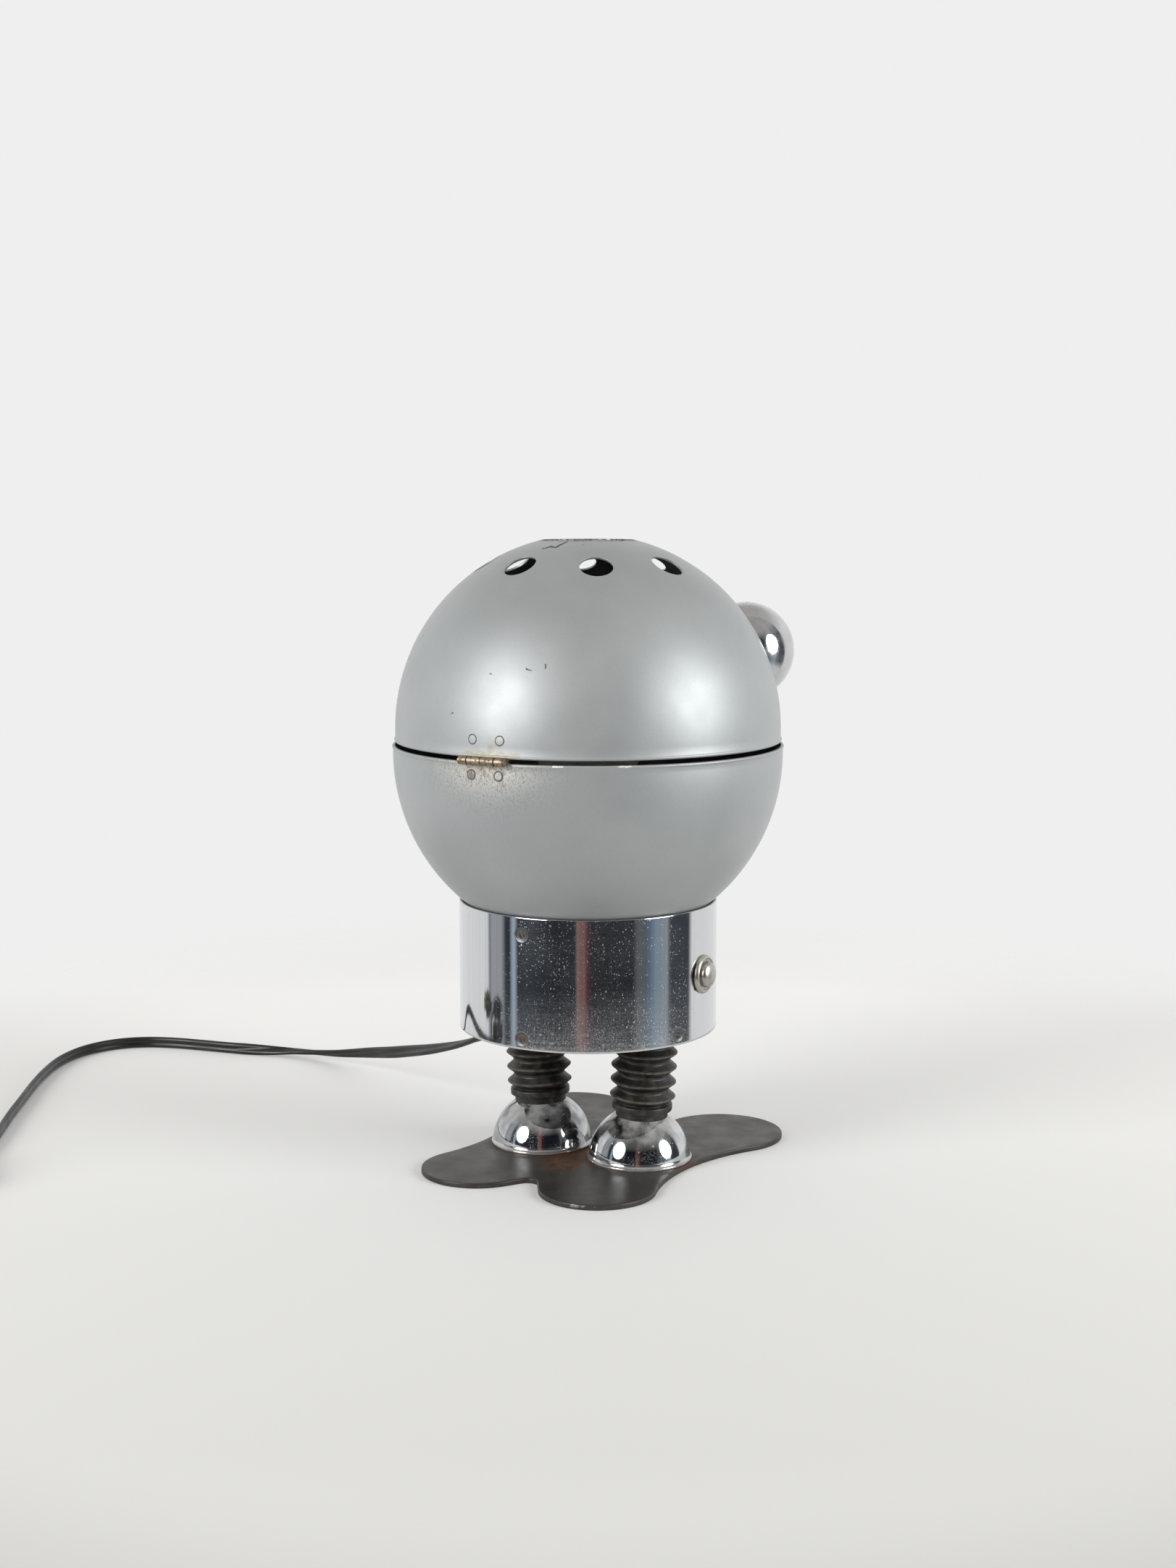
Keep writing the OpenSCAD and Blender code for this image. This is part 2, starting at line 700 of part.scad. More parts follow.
module holder_insert() {
    color("white") translate([0, 0, insert_z]) difference() {
        cylinder(r = holder_r - holder_wall - seat_fit, h = insert_t);
        for (x = [-1, 1]) translate([x * 10, 0, -cut]) cylinder(r = 1.5, h = 3 + cut, $fn = 32);
    }
}

module holder_contact() {
    color(brass) translate([0, 0, contact_z]) {
        cylinder(r = 4, h = 0.8);
        cylinder(r = 2.6, h = contact_t);
    }
}

module holder_thread() {
    color(brass) translate([0, 0, contact_z])
        ring(bulb_cap_r + thread_gap + thread_t, bulb_cap_r + thread_gap, holder_body_h - 6);
}

module holder_sleeve() {
    color(black) translate([0, 0, sleeve_z]) difference() {
        ring(holder_r, holder_r - holder_wall, holder_body_h);
        for (k = [0 : 5]) rotate([0, 0, 60 * k]) translate([holder_r + 1, 0, 6])
            cylinder(r = 1.6, h = big, $fn = 32);
    }
}

// Screw cap with its rolled thread
thread_pitch = 3.6;

module bulb_cap() {
    color(brass) translate([0, 0, bulb_shell_z]) difference() {
        union() {
            cylinder(r = bulb_cap_r - 0.2, h = bulb_shell_h);
            for (k = [0 : 4]) translate([0, 0, 2.2 + k * thread_pitch])
                rotate_extrude() translate([bulb_cap_r - 0.6, 0]) circle(r = 1, $fn = 24);
        }
        translate([0, 0, 0.6]) cylinder(r = bulb_cap_r - 1.9, h = bulb_shell_h);
    }
}

module bulb_insulator() {
    color(black) translate([0, 0, bulb_z]) {
        cylinder(r = 4.5, h = 1.5);
        translate([0, 0, 1.5]) cylinder(r1 = 5, r2 = bulb_cap_r - 1, h = 4);
    }
}

module bulb_solid(shrink) {
    meet = bulb_ball_z - bulb_r * 0.58;
    translate([0, 0, bulb_ball_z]) sphere(r = bulb_r - shrink);
    translate([0, 0, bulb_neck_z]) cylinder(r1 = bulb_neck_r - shrink,
        r2 = sqrt(pow(bulb_r, 2) - pow(bulb_ball_z - meet, 2)) - shrink, h = meet - bulb_neck_z);
}

module bulb_glass() {
    color("white") difference() {
        bulb_solid(0);
        bulb_solid(glass_t);
        translate([0, 0, bulb_neck_z - cut]) cylinder(r = bulb_neck_r - glass_t, h = 2 * cut);
    }
}

// ---- hinge ---------------------------------------------------------------------------------

// Sheet leaf on the inside of a shell: dir is 1 for the upper leaf, -1 for the lower one
module leaf(inner_r, dir) {
    outer = inner_r - seat_fit - 0.15;
    strap = hinge_z + (dir > 0 ? leaf_gap : -leaf_gap - leaf_t);
    low = dir > 0 ? strap : strap + leaf_t - leaf_l;
    intersection() {
        translate([0, 0, low]) ring(outer, outer - leaf_t, leaf_l);
        translate([-hinge_w / 2, 0, 0]) cube([hinge_w, big, big]);
    }
    translate([-hinge_w / 2, outer - leaf_t - 0.1, strap])
        cube([hinge_w, hinge_y - knuckle_r - 0.4 - outer + leaf_t, leaf_t]);
}

// One knuckle with its strap to the leaf
module knuckle(x0, x1, dir) {
    strap = hinge_z + (dir > 0 ? leaf_gap : -leaf_gap - leaf_t);
    translate([x0, hinge_y, hinge_z]) rotate([0, 90, 0]) cylinder(r = knuckle_r, h = x1 - x0);
    translate([x0, hinge_y - knuckle_r - 1.6, strap]) cube([x1 - x0, knuckle_r + 1, leaf_t]);
}

module pin_bore() {
    translate([-hinge_w, hinge_y, hinge_z]) rotate([0, 90, 0])
        cylinder(r = pin_r + run_fit, h = 2 * hinge_w, $fn = 48);
}

module hinge_leaf_lower() {
    x = hinge_w / 2;
    color(brass) difference() {
        union() {
            leaf(head_r - head_t, -1);
            knuckle(-x, -x + outer_knuckle_w, -1);
            knuckle(x - outer_knuckle_w, x, -1);
        }
        pin_bore();
        rivet_holes(low_rivet_z);
    }
}

module hinge_leaf_upper() {
    x = hinge_w / 2 - outer_knuckle_w - knuckle_gap;
    color(brass) difference() {
        union() {
            leaf(crown_r - head_t, 1);
            knuckle(-x, x, 1);
        }
        pin_bore();
        rivet_holes(high_rivet_z);
    }
}

// Pin with a flattened head at each end
module hinge_pin() {
    color(brass) translate([0, hinge_y, hinge_z]) rotate([0, 90, 0]) {
        translate([0, 0, -hinge_w / 2 - 0.4]) cylinder(r = pin_r, h = hinge_w + 0.8);
        for (z = [-hinge_w / 2 - 0.4, hinge_w / 2 + 0.05])
            translate([0, 0, z]) cylinder(r = pin_r + 0.35, h = 0.35);
    }
}

module rivets(outer_r, centre_z, z) {
    surface = sqrt(pow(outer_r, 2) - pow(z - centre_z, 2) - pow(rivet_x, 2));
    for (x = [-rivet_x, rivet_x]) translate([x, surface + 0.16, z]) rotate([-90, 0, 0])
        rivet(head_t + leaf_t + 0.75);
}

module hinge_rivets_lower() { color(silver) rivets(head_r, head_z, low_rivet_z); }
module hinge_rivets_upper() { color(silver) rivets(crown_r, crown_z, high_rivet_z); }

// ---- head, upper half ----------------------------------------------------------------------

module upper_head_shell() {
    color(silver) difference() {
        union() {
            translate([0, 0, crown_z]) bowl_wall(crown_r, upper_skirt);
            translate([0, 0, upper_rim + upper_bead_r]) rim_bead(crown_r, upper_bead_r);
        }
        translate([0, 0, crown_z]) cylinder(r = top_hole_r, h = big);
        for (k = [0 : vent_count - 1])
            on_ball(crown_z, vent_turn + k * 360 / vent_count, vent_lat)
                cylinder(r = vent_r, h = big, $fn = 48);
        for (turn = [180 - eye_turn, 180 + eye_turn])
            on_ball(crown_z, turn, eye_lat) cylinder(r = eye_stud_r + hole_fit, h = big, $fn = 32);
        rivet_holes(high_rivet_z);
    }
}

eye_base = sqrt(pow(crown_r, 2) - pow(eye_r, 2));           // plane where the eye meets the ball

// Chromed half ball with its stud, trimmed to the head
module eye(turn) {
    stud_foot = crown_r - 5.5;
    stud_l = eye_base + eye_r - eye_t / 2 - stud_foot;
    color(chrome) difference() {
        on_ball(crown_z, turn, eye_lat) {
            translate([0, 0, eye_base]) difference() {
                sphere(r = eye_r);
                sphere(r = eye_r - eye_t);
                below(0);
            }
            translate([0, 0, stud_foot]) cylinder(r = eye_stud_r, h = stud_l, $fn = 32);
        }
        difference() {
            translate([0, 0, crown_z]) sphere(r = crown_r + seat_fit);
            on_ball(crown_z, turn, eye_lat) cylinder(r = eye_stud_r + 0.01, h = big, $fn = 32);
        }
    }
}
module eye_left() { eye(180 + eye_turn); }
module eye_right() { eye(180 - eye_turn); }

eye_nut_af = 7;
eye_nut_t = 3.2;

module eye_nuts() {
    inside = crown_r - head_t;
    reach = sqrt(pow(inside, 2) - pow(eye_nut_af / sqrt(3), 2)) - seat_fit;
    color(chrome) for (turn = [180 - eye_turn, 180 + eye_turn])
        on_ball(crown_z, turn, eye_lat) translate([0, 0, reach - eye_nut_t])
            hex_nut(eye_nut_af, eye_stud_r + seat_fit, eye_nut_t);
}

// ---- switch --------------------------------------------------------------------------------

// Places children at the switch with +Z pointing out of the body at the robot's right
module on_switch(x) { translate([-x, 0, switch_z]) rotate([0, -90, 0]) children(); }

housing_back = housing_x - housing_l;
tab_l = 6;                                                  // of each terminal outside the housing
tab_t = 0.8;
tab_y = 4.5;

module switch_housing() {
    color(black) difference() {
        on_switch(housing_back) translate([-housing_w / 2, -housing_w / 2, 0])
            cube([housing_w, housing_w, housing_l]);
        on_switch(housing_x - stem_l - button_travel - 2)
            cylinder(r = stem_r + plunger_fit, h = stem_l + button_travel + 2 + cut, $fn = 48);
    }
}

module switch_terminals() {
    color(brass) for (y = [-1, 1])
        on_switch(housing_back - tab_l) translate([-2.4, y * tab_y - tab_t / 2, 0]) cube([4.8, tab_t, tab_l]);
}

// Threaded bush between the housing and the ring; the button slides in it
module switch_bush() {
    color(chrome) difference() {
        on_switch(housing_x) cylinder(r = bush_r, h = bezel_front - housing_x - 0.3);
        on_switch(housing_x + bush_floor) cylinder(r = button_r + plunger_fit, h = big);
        on_switch(housing_x - cut) cylinder(r = stem_r + plunger_fit, h = bush_floor + 2 * cut, $fn = 48);
    }
}

module switch_bezel() {
    edge = bezel_t * 0.45;
    color(chrome) on_switch(bezel_x) difference() {
        union() {
            cylinder(r = bezel_r, h = edge);
            translate([0, 0, edge - 0.01])
                cylinder(r1 = bezel_r, r2 = bezel_r - bezel_t + edge, h = bezel_t - edge);
        }
        translate([0, 0, -cut]) cylinder(r = bush_r + seat_fit, h = 2 * bezel_t + cut);
    }
}

module switch_nut() {
    color(chrome) on_switch(switch_nut_x - switch_nut_t)
        hex_nut(switch_nut_af, bush_r + seat_fit, switch_nut_t);
}

// Domed push button with its plunger and stem
module switch_button() {
    rise = 1.5;
    ball = (pow(button_r, 2) + rise * rise) / (2 * rise);
    color(chrome) on_switch(0) {
        translate([0, 0, plunger_z]) cylinder(r = button_r, h = bezel_front + button_out - rise - plunger_z);
        intersection() {
            translate([0, 0, bezel_front + button_out - ball]) sphere(r = ball);
            translate([0, 0, bezel_front + button_out - rise - 0.01]) cylinder(r = button_r, h = 2 * rise);
        }
        translate([0, 0, housing_x - stem_l])
            cylinder(r = stem_r, h = plunger_z - housing_x + stem_l + cut, $fn = 48);
    }
}

// ---- wiring --------------------------------------------------------------------------------

lead_r = 1.1;
bush_top = base_z + base_t + 6;
cord_end_h = 3;
lead_gap = 0.3;
lead_z = bush_top + cord_end_h + lead_gap;                  // where the cord's two cores come out
core = cord_w / 4;                                          // half the distance between the cores
terminal_x = -(housing_back - tab_l / 2);

run_z = bracket_z - 6;                                      // level of the leads under the bracket
terminal_y = tab_y + tab_t / 2 + lead_r + seat_fit;
lead_x = nipple_bore_r / 2 - 0.1;                           // of each lead inside the nipple

// From the cord to the switch, round the front
lead_live_path = smooth([
    [bush_x, bush_y - core, lead_z], [bush_x, bush_y - core, lead_z + 2],
    [0.73 * body_in_r, -0.33 * body_in_r, run_z - 5], [0.49 * body_in_r, -0.61 * body_in_r, run_z - 1],
    [0, -0.73 * body_in_r, run_z], [terminal_x * 0.57, -0.55 * body_in_r, run_z + 1],
    [terminal_x - 0.5, -terminal_y, switch_z]], 3);
// The last stretch of both leads through the nipple, on its left (1) or right (-1) side
function up_the_nipple(side) = [
    [side * lead_x, -side * 0.5, nipple_z - 2.5], [side * lead_x, 0, nipple_z + 5.5],
    [side * lead_x, 0, nipple_top - 4],
    [side * (lead_x + 0.5), 0, nipple_top + 0.2], [side * (lead_x + 3.2), 0, nipple_top + 1.9],
    [side * holder_r / 2, 0, insert_z - lead_r - 0.2]];
// From the switch up into the lampholder
lead_switched_path = smooth(concat([
    [terminal_x - 0.5, terminal_y, switch_z], [terminal_x / 2, 0.29 * body_in_r, run_z - 2],
    [terminal_x / 6, 6, run_z - 4]], up_the_nipple(-1)), 3);
// From the cord up into the lampholder
lead_neutral_path = smooth(concat([
    [bush_x, bush_y + core, lead_z], [bush_x, bush_y + core, lead_z + 2],
    [0.71 * body_in_r, -0.2 * body_in_r, run_z - 6],
    [0.45 * body_in_r, -ankle_y - rod_r - 4, run_z - 6],        // past the front of the leg rod
    [6, -1, run_z - 5]], up_the_nipple(1)), 3);

module lead_live() { color("saddlebrown") wire(lead_live_path, lead_r); }
module lead_switched() { color("saddlebrown") wire(lead_switched_path, lead_r); }
module lead_neutral() { color("steelblue") wire(lead_neutral_path, lead_r); }

// ---- mains cord ----------------------------------------------------------------------------

nose_dir = [sin(nose_tilt) * cos(nose_turn), sin(nose_tilt) * sin(nose_turn), -cos(nose_tilt)];
nose_tip = [bush_x, bush_y, base_z] + nose_l * nose_dir;
edge_z = cord_w / 2 + 0.05;                                 // cord standing on its edge

// Points of the route, from the bush over the floor to the side of the coil
cord_route = [
    nose_tip, [55, -15, 39.5], [61, -17, 36], [74, -23, 30.5], [87, -29, 26], [100, -35, 22], [114, -42, 18],
    [127, -48, 14.5], [141, -55, 11], [154, -60, 8], [167, -63, 5.5], [180, -65, 3.8], [193, -64, 3],
    [207, -60, edge_z], [222, -56, edge_z], [238, -53, edge_z], [252, -50, edge_z], [264, -45, edge_z],
    [273, -37, edge_z], [278, -26, edge_z], [279, -13, edge_z], [275, 4, edge_z], [266, 23, edge_z],
    [255, 42, edge_z], [243, 61, edge_z], [231, 80, edge_z], [219, 98, edge_z], [207, 117, edge_z],
    [193.2, 138.8, edge_z]];
// The cord lies flat at first and stands on its edge from the first bend on
cord_rolls = [[0, 0], [9, 0], [13, 90], [99, 90]];

coil_x = 211.8;
coil_y = 169.1;
turn_pitch = cord_t + 0.2;
coil_half = coil_turns * turn_pitch / 2 + 0.3;
tie_t = 0.5;                                                // the coil lies on its tie
coil_h = 2 * cord_w + 0.6;
tail_turn = 30;                                             // where the end leaves the coil
tail_dir = tail_turn - 90;
tail_r = coil_r + coil_half + cord_t / 2 + seat_fit;
tail_z = tie_t + 1.5 * cord_w + 0.3;                        // middle of the upper layer
tail_start = [coil_x + tail_r * cos(tail_turn), coil_y + tail_r * sin(tail_turn), tail_z];
tail_l = 32;
plug_t = 12;
plug_w = 23;
plug_l = 26;
plug_neck = 9;                                              // of the plug's entry outside its body
plug_entry = [tail_start[0] + tail_l * cos(tail_dir), tail_start[1] + tail_l * sin(tail_dir), plug_t / 2];

// Rubber bush in the base plate with a tapered nose
module cord_bush() {
    color(rubber) {
        translate([bush_x, bush_y, base_z - 1.8]) cylinder(r = bush_hole_r + 1.6, h = 1.8 - seat_fit);
        translate([bush_x, bush_y, base_z - cut]) cylinder(r = bush_hole_r, h = bush_top - base_z + cut);
        translate([bush_x, bush_y, base_z + base_t + seat_fit]) cylinder(r = bush_hole_r + 1.2, h = 1.8);
        difference() {
            translate([bush_x, bush_y, base_z]) rotate([0, 0, nose_turn]) rotate([0, 180 - nose_tilt, 0])
                cylinder(r1 = 4.9, r2 = cord_w / 2 + 0.5, h = nose_l);
            above(base_z - cut);
        }
    }
}

// Stub of the cord inside the body, up to where its two cores part
module cord_end() {
    color(black) translate([bush_x - cord_t / 2, bush_y - cord_w / 2, bush_top])
        cube([cord_t, cord_w, cord_end_h]);
}

module mains_cord() {
    steps = 2;
    rolls = [for (r = cord_rolls) [steps * r[0], r[1]]];
    color(black) flat_tube(smooth(cord_route, steps), cord_w, cord_t, rolls);
}

module cord_coil() {
    color(black) translate([coil_x, coil_y, tie_t]) ring(coil_r + coil_half, coil_r - coil_half, coil_h);
}

// Band round the coil at one side
module cord_tie() {
    tie_w = 5;
    tie_turn = 250;
    half = coil_half + seat_fit;
    color("whitesmoke") translate([coil_x, coil_y, 0]) rotate([0, 0, tie_turn]) intersection() {
        difference() {
            ring(coil_r + half + tie_t, coil_r - half - tie_t, coil_h + 2 * tie_t + seat_fit);
            translate([0, 0, tie_t]) ring(coil_r + half, coil_r - half, coil_h + seat_fit);
        }
        translate([0, -tie_w / 2, 0]) cube([big, tie_w, big]);
    }
}

module cord_tail() {
    points = [for (f = [0 : 0.25 : 1]) tail_start + f * (plug_entry - tail_start)];
    color(black) flat_tube(points, cord_w, cord_t, [[0, 90], [4, 0]]);
}

module on_plug() { translate([plug_entry[0], plug_entry[1], 0]) rotate([0, 0, tail_dir]) children(); }

// Moulded two pin plug, lying flat
module plug_body() {
    color(black) on_plug() {
        translate([0, 0, plug_t / 2]) rotate([0, 90, 0]) cylinder(r1 = 3.4, r2 = 5, h = 12, $fn = 48);
        translate([0, 0, 0.02]) hull() {
            for (p = [[plug_neck + 3, 4], [plug_neck + plug_l - 3, plug_w / 2 - 3]], y = [-1, 1])
                translate([p[0], y * p[1], 0]) cylinder(r = 3, h = plug_t - 0.02, $fn = 32);
        }
    }
}

blade_y = 6.35;
blade_l = 16;
blade_t = 1.5;
blade_w = 6.3;

module plug_blades() {
    color(brass) on_plug() for (y = [-1, 1]) difference() {
        translate([plug_neck + plug_l, y * blade_y - blade_t / 2, (plug_t - blade_w) / 2])
            cube([blade_l, blade_t, blade_w]);
        translate([plug_neck + plug_l + blade_l - 4.3, y * blade_y - 2, plug_t / 2])
            rotate([-90, 0, 0]) cylinder(r = 1.6, h = 4, $fn = 32);
    }
}

// ---- all nodes -----------------------------------------------------------------------------

foot_plate();
foot_screws();
ankle_dome_left();
ankle_dome_right();
ankle_nuts();
leg_rod_left();
leg_rod_right();
bellows_left();
bellows_right();
leg_washers();
leg_nuts();
base_plate();
base_plate_screws();
body_shell();
head_bracket();
bracket_screws();
lower_head_shell();
rim_rests();
bracket_spacer();
nipple();
nipple_nuts();
nipple_washer();
holder_cap();
holder_insert();
holder_contact();
holder_thread();
holder_sleeve();
bulb_cap();
bulb_insulator();
bulb_glass();
hinge_leaf_lower();
hinge_pin();
hinge_rivets_lower();
upper_head_shell();
hinge_leaf_upper();
hinge_rivets_upper();
eye_left();
eye_right();
eye_nuts();
switch_housing();
switch_terminals();
switch_bush();
switch_bezel();
switch_nut();
switch_button();
lead_live();
lead_switched();
lead_neutral();
cord_bush();
cord_end();
mains_cord();
cord_coil();
cord_tie();
cord_tail();
plug_body();
plug_blades();
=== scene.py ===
"""Robot shaped desk lamp: the looks of every piece, its mains cord, a pale floor and studio light.

Lengths are millimetres in the frame's own axes, turned to metres where a mesh is written: +Z up,
the robot faces -Y, its right hand side is at -X, and the head's hinge is at the back, +Y.
"""

import json
from math import acos, asin, atan2, cos, degrees, pi, radians, sin, sqrt, tan

import bmesh
import bpy
import numpy as np
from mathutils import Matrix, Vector


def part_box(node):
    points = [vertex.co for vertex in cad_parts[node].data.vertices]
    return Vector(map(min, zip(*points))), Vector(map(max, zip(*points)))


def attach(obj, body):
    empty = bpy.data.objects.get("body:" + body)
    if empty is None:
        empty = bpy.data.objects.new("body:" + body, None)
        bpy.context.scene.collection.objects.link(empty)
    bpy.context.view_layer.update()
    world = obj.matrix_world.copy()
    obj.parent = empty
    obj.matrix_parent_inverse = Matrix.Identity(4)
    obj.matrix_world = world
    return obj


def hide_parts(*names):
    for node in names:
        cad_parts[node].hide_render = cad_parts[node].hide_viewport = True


MM = 0.001
SAME = 1e-4  # mm, points closer than this are one point

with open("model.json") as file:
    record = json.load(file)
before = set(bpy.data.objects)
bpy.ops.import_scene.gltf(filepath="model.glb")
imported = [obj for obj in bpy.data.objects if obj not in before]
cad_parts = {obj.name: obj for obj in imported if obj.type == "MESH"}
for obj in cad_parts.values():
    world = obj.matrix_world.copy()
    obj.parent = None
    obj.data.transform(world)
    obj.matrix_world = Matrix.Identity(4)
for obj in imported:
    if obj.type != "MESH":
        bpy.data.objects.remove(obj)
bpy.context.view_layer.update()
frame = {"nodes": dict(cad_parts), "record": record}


# ---- helpers: numbers and meshes ----


def box(node):
    """Lowest and highest corner of a node, in mm."""
    return [np.array(corner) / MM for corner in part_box(node)]


def unit(vectors):
    """Vectors along the last axis, each scaled to length 1."""
    vectors = np.asarray(vectors, float)
    return vectors / np.linalg.norm(vectors, axis=-1, keepdims=True)


def grid_of(*parts):
    """Points whose coordinates are these arrays, spread over one common grid."""
    return np.stack(np.broadcast_arrays(*parts), axis=-1)


def circle(radius, first, last, steps, centre=(0, 0)):
    """Arc centre + radius (cos a, sin a), with a from first to last in degrees."""
    a = np.radians(np.linspace(first, last, steps + 1))
    return centre + radius * grid_of(np.cos(a), np.sin(a))


def ease(x, start, end):
    """0 before start and 1 after end, with the smooth step 3 f^2 - 2 f^3 between them."""
    f = np.clip((x - start) / (end - start), 0, 1)
    return f * f * (3 - 2 * f)


def bulged(x, power):
    """|x|^power with the sign of x."""
    return np.sign(x) * np.abs(x) ** power


def smooth_line(points, steps):
    """Cubic curve through all points: between b and c it is b + f/2 (c - a + f (2a - 5b + 4c - d +
    f (3 (b - c) + d - a))), where a and d are the points before and after, and f goes from 0 to 1."""
    p = np.asarray(points, float)
    ends = (p[np.r_[0, 0 : len(p) - 2]], p[:-1], p[1:], p[np.r_[2 : len(p), len(p) - 1]])
    a, b, c, d = (x[:, None, :] for x in ends)
    f = (np.arange(steps) / steps)[None, :, None]
    curve = b + 0.5 * f * (c - a + f * (2 * a - 5 * b + 4 * c - d + f * (3 * (b - c) + d - a)))
    return np.vstack([curve.reshape(-1, p.shape[1]), p[-1:]])


def evenly(line, step):
    """The line again, with points that lie about step apart along it."""
    along = np.r_[0, np.cumsum(np.linalg.norm(np.diff(line, axis=0), axis=1))]
    at = np.linspace(0, along[-1], max(2, round(along[-1] / step) + 1))
    return np.stack([np.interp(at, along, column) for column in line.T], axis=1)


def rounded(corners, radius, steps=4, closed=False):
    """Outline whose corners p become curves (1-f)^2 a + 2 f (1-f) p + f^2 b. They leave the two edges
    at a and b, radius away from the corner or just before the edge's middle."""
    p = np.asarray(corners, float)
    radius = np.broadcast_to(np.asarray(radius, float), len(p))[:, None]
    edges = [np.roll(p, 1, axis=0) - p, np.roll(p, -1, axis=0) - p]
    a, b = (p + unit(e) * np.minimum(radius, 0.49 * np.linalg.norm(e, axis=1, keepdims=True)) for e in edges)
    f = np.linspace(0, 1, steps + 1)[None, :, None]
    curve = (1 - f) ** 2 * a[:, None] + 2 * f * (1 - f) * p[:, None] + f**2 * b[:, None]
    if closed:
        return np.vstack([curve.reshape(-1, p.shape[1]), curve[:1, 0]])
    return np.vstack([p[:1], curve[1:-1].reshape(-1, p.shape[1]), p[-1:]])


def revolve(profile, columns=96, turns=None):
    """Grid of a profile of (r, z) points turned round Z: (r cos t, r sin t, z). The angles t are evenly
    spaced over one turn, or given in degrees."""
    t = np.linspace(0, 2 * pi, columns + 1) if turns is None else np.radians(turns)
    r, z = np.asarray(profile, float).T[:, :, None]
    return grid_of(r * np.cos(t), r * np.sin(t), z)


def placed(grid, origin, out, side=(0, 0, 1)):
    """The grid with its Z turned to the direction out, its X at right angles to out and side."""
    z = unit(out)
    x = unit(np.cross(side, z))
    return np.asarray(origin) + grid[..., :1] * x + grid[..., 1:2] * np.cross(z, x) + grid[..., 2:] * z


def put(name, data, place=(0, 0, 0)):
    """Puts data into the scene as an object, at a place in mm."""
    made = bpy.data.objects.new(name, data)
    made.location = Vector(place) * MM
    bpy.context.scene.collection.objects.link(made)
    return made


def surface(name, *grids):
    """Object made of grids of points, rows by columns. Points that coincide become one, so a grid is
    closed where its edges meet, and a row that shrinks to a point is a pole. Open ends are filled, and
    all faces are turned outwards."""
    points, faces, count = [], [], 0
    for grid in grids:
        rows, columns = grid.shape[:2]
        k = count + np.arange(rows * columns).reshape(rows, columns)
        faces.append(grid_of(k[:-1, :-1], k[:-1, 1:], k[1:, 1:], k[1:, :-1]).reshape(-1, 4))
        points.append(grid.reshape(-1, 3))
        count += rows * columns
    points, faces = np.vstack(points), np.vstack(faces)
    _, first, welded = np.unique(np.round(points / SAME), axis=0, return_index=True, return_inverse=True)
    points, faces = points[first], welded.reshape(-1)[faces]
    same = faces == np.roll(faces, -1, axis=1)
    quads, thin = faces[same.sum(axis=1) == 0], same.sum(axis=1) == 1
    triangles = faces[thin][~same[thin]].reshape(-1, 3)
    mesh = bpy.data.meshes.new(name)
    mesh.from_pydata((points * MM).tolist(), [], quads.tolist() + triangles.tolist())
    shape = bmesh.new()
    shape.from_mesh(mesh)
    bmesh.ops.holes_fill(shape, edges=[edge for edge in shape.edges if edge.is_boundary])
    bmesh.ops.recalc_face_normals(shape, faces=shape.faces)
    shape.to_mesh(mesh)
    shape.free()
    mesh.polygons.foreach_set("use_smooth", np.full(len(mesh.polygons), True))
    return put(name, mesh)


def finish_piece(made, body, material, slot, *nodes):
    """Gives a piece its material and the body that carries it, and hides the nodes that it stands for; the
    slot is not used.
    """
    made.data.materials.append(material)
    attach(made, body)
    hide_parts(*nodes)
    return made


# ---- helpers: materials ----


def rgb(hex_value):
    """Linear colour, with alpha 1, of an sRGB hex value such as "8c8f91"."""
    parts = [int(hex_value[i : i + 2], 16) / 255 for i in (0, 2, 4)]
    return tuple(c / 12.92 if c <= 0.04045 else ((c + 0.055) / 1.055) ** 2.4 for c in parts) + (1.0,)


class Output:
    """One output of a shader node. Operators join it to numbers, vectors and other outputs, and a | b is
    the larger of two. A number as key picks a coordinate, and a name another output of the same node."""

    def __init__(self, socket):
        self.socket = socket

    def __getitem__(self, key):
        if isinstance(key, int):
            return add("SeparateXYZ", [self], key)
        return Output(self.socket.node.outputs[key])

    def __abs__(self):
        return self.join("ABSOLUTE")

    def __add__(self, other):
        return self.join("ADD", other)

    def __sub__(self, other):
        return self.join("SUBTRACT", other)

    def __rsub__(self, other):
        return add("Math", (other, self), operation="SUBTRACT")

    def __mul__(self, other):
        return self.join("MULTIPLY", other)

    def __or__(self, other):
        return self.join("MAXIMUM", other)

    def join(self, operation, *others):
        """Result of one operation. A number worked out from vectors is the node's second output."""
        number = operation in ("LENGTH", "DISTANCE", "DOT_PRODUCT")
        kind = "Math" if self.socket.type == "VALUE" else "VectorMath"
        return add(kind, (self, *others), int(number), operation=operation)


def add(kind, inputs, output=0, tree=None, stops=(), **settings):
    """Adds one shader node, fed by plain values and outputs, and returns one of its own outputs. Its
    tree is theirs, unless one is given, and a colour ramp's stops are pairs of position and colour."""
    inputs = inputs if isinstance(inputs, dict) else dict(enumerate(inputs))
    if tree is None:
        tree = next(value.socket.id_data for value in inputs.values() if isinstance(value, Output))
    made = tree.nodes.new("ShaderNode" + kind)
    for key, value in settings.items():
        setattr(made, key, value)
    for key, value in inputs.items():
        if isinstance(value, Output):
            tree.links.new(value.socket, made.inputs[key])
        else:
            made.inputs[key].default_value = value
    for index, (position, colour) in enumerate(stops):
        ramp = made.color_ramp.elements
        stop = ramp[index] if index < 2 else ramp.new(position)
        stop.position = position
        stop.color = colour
    return Output(made.outputs[output]) if made.outputs else None


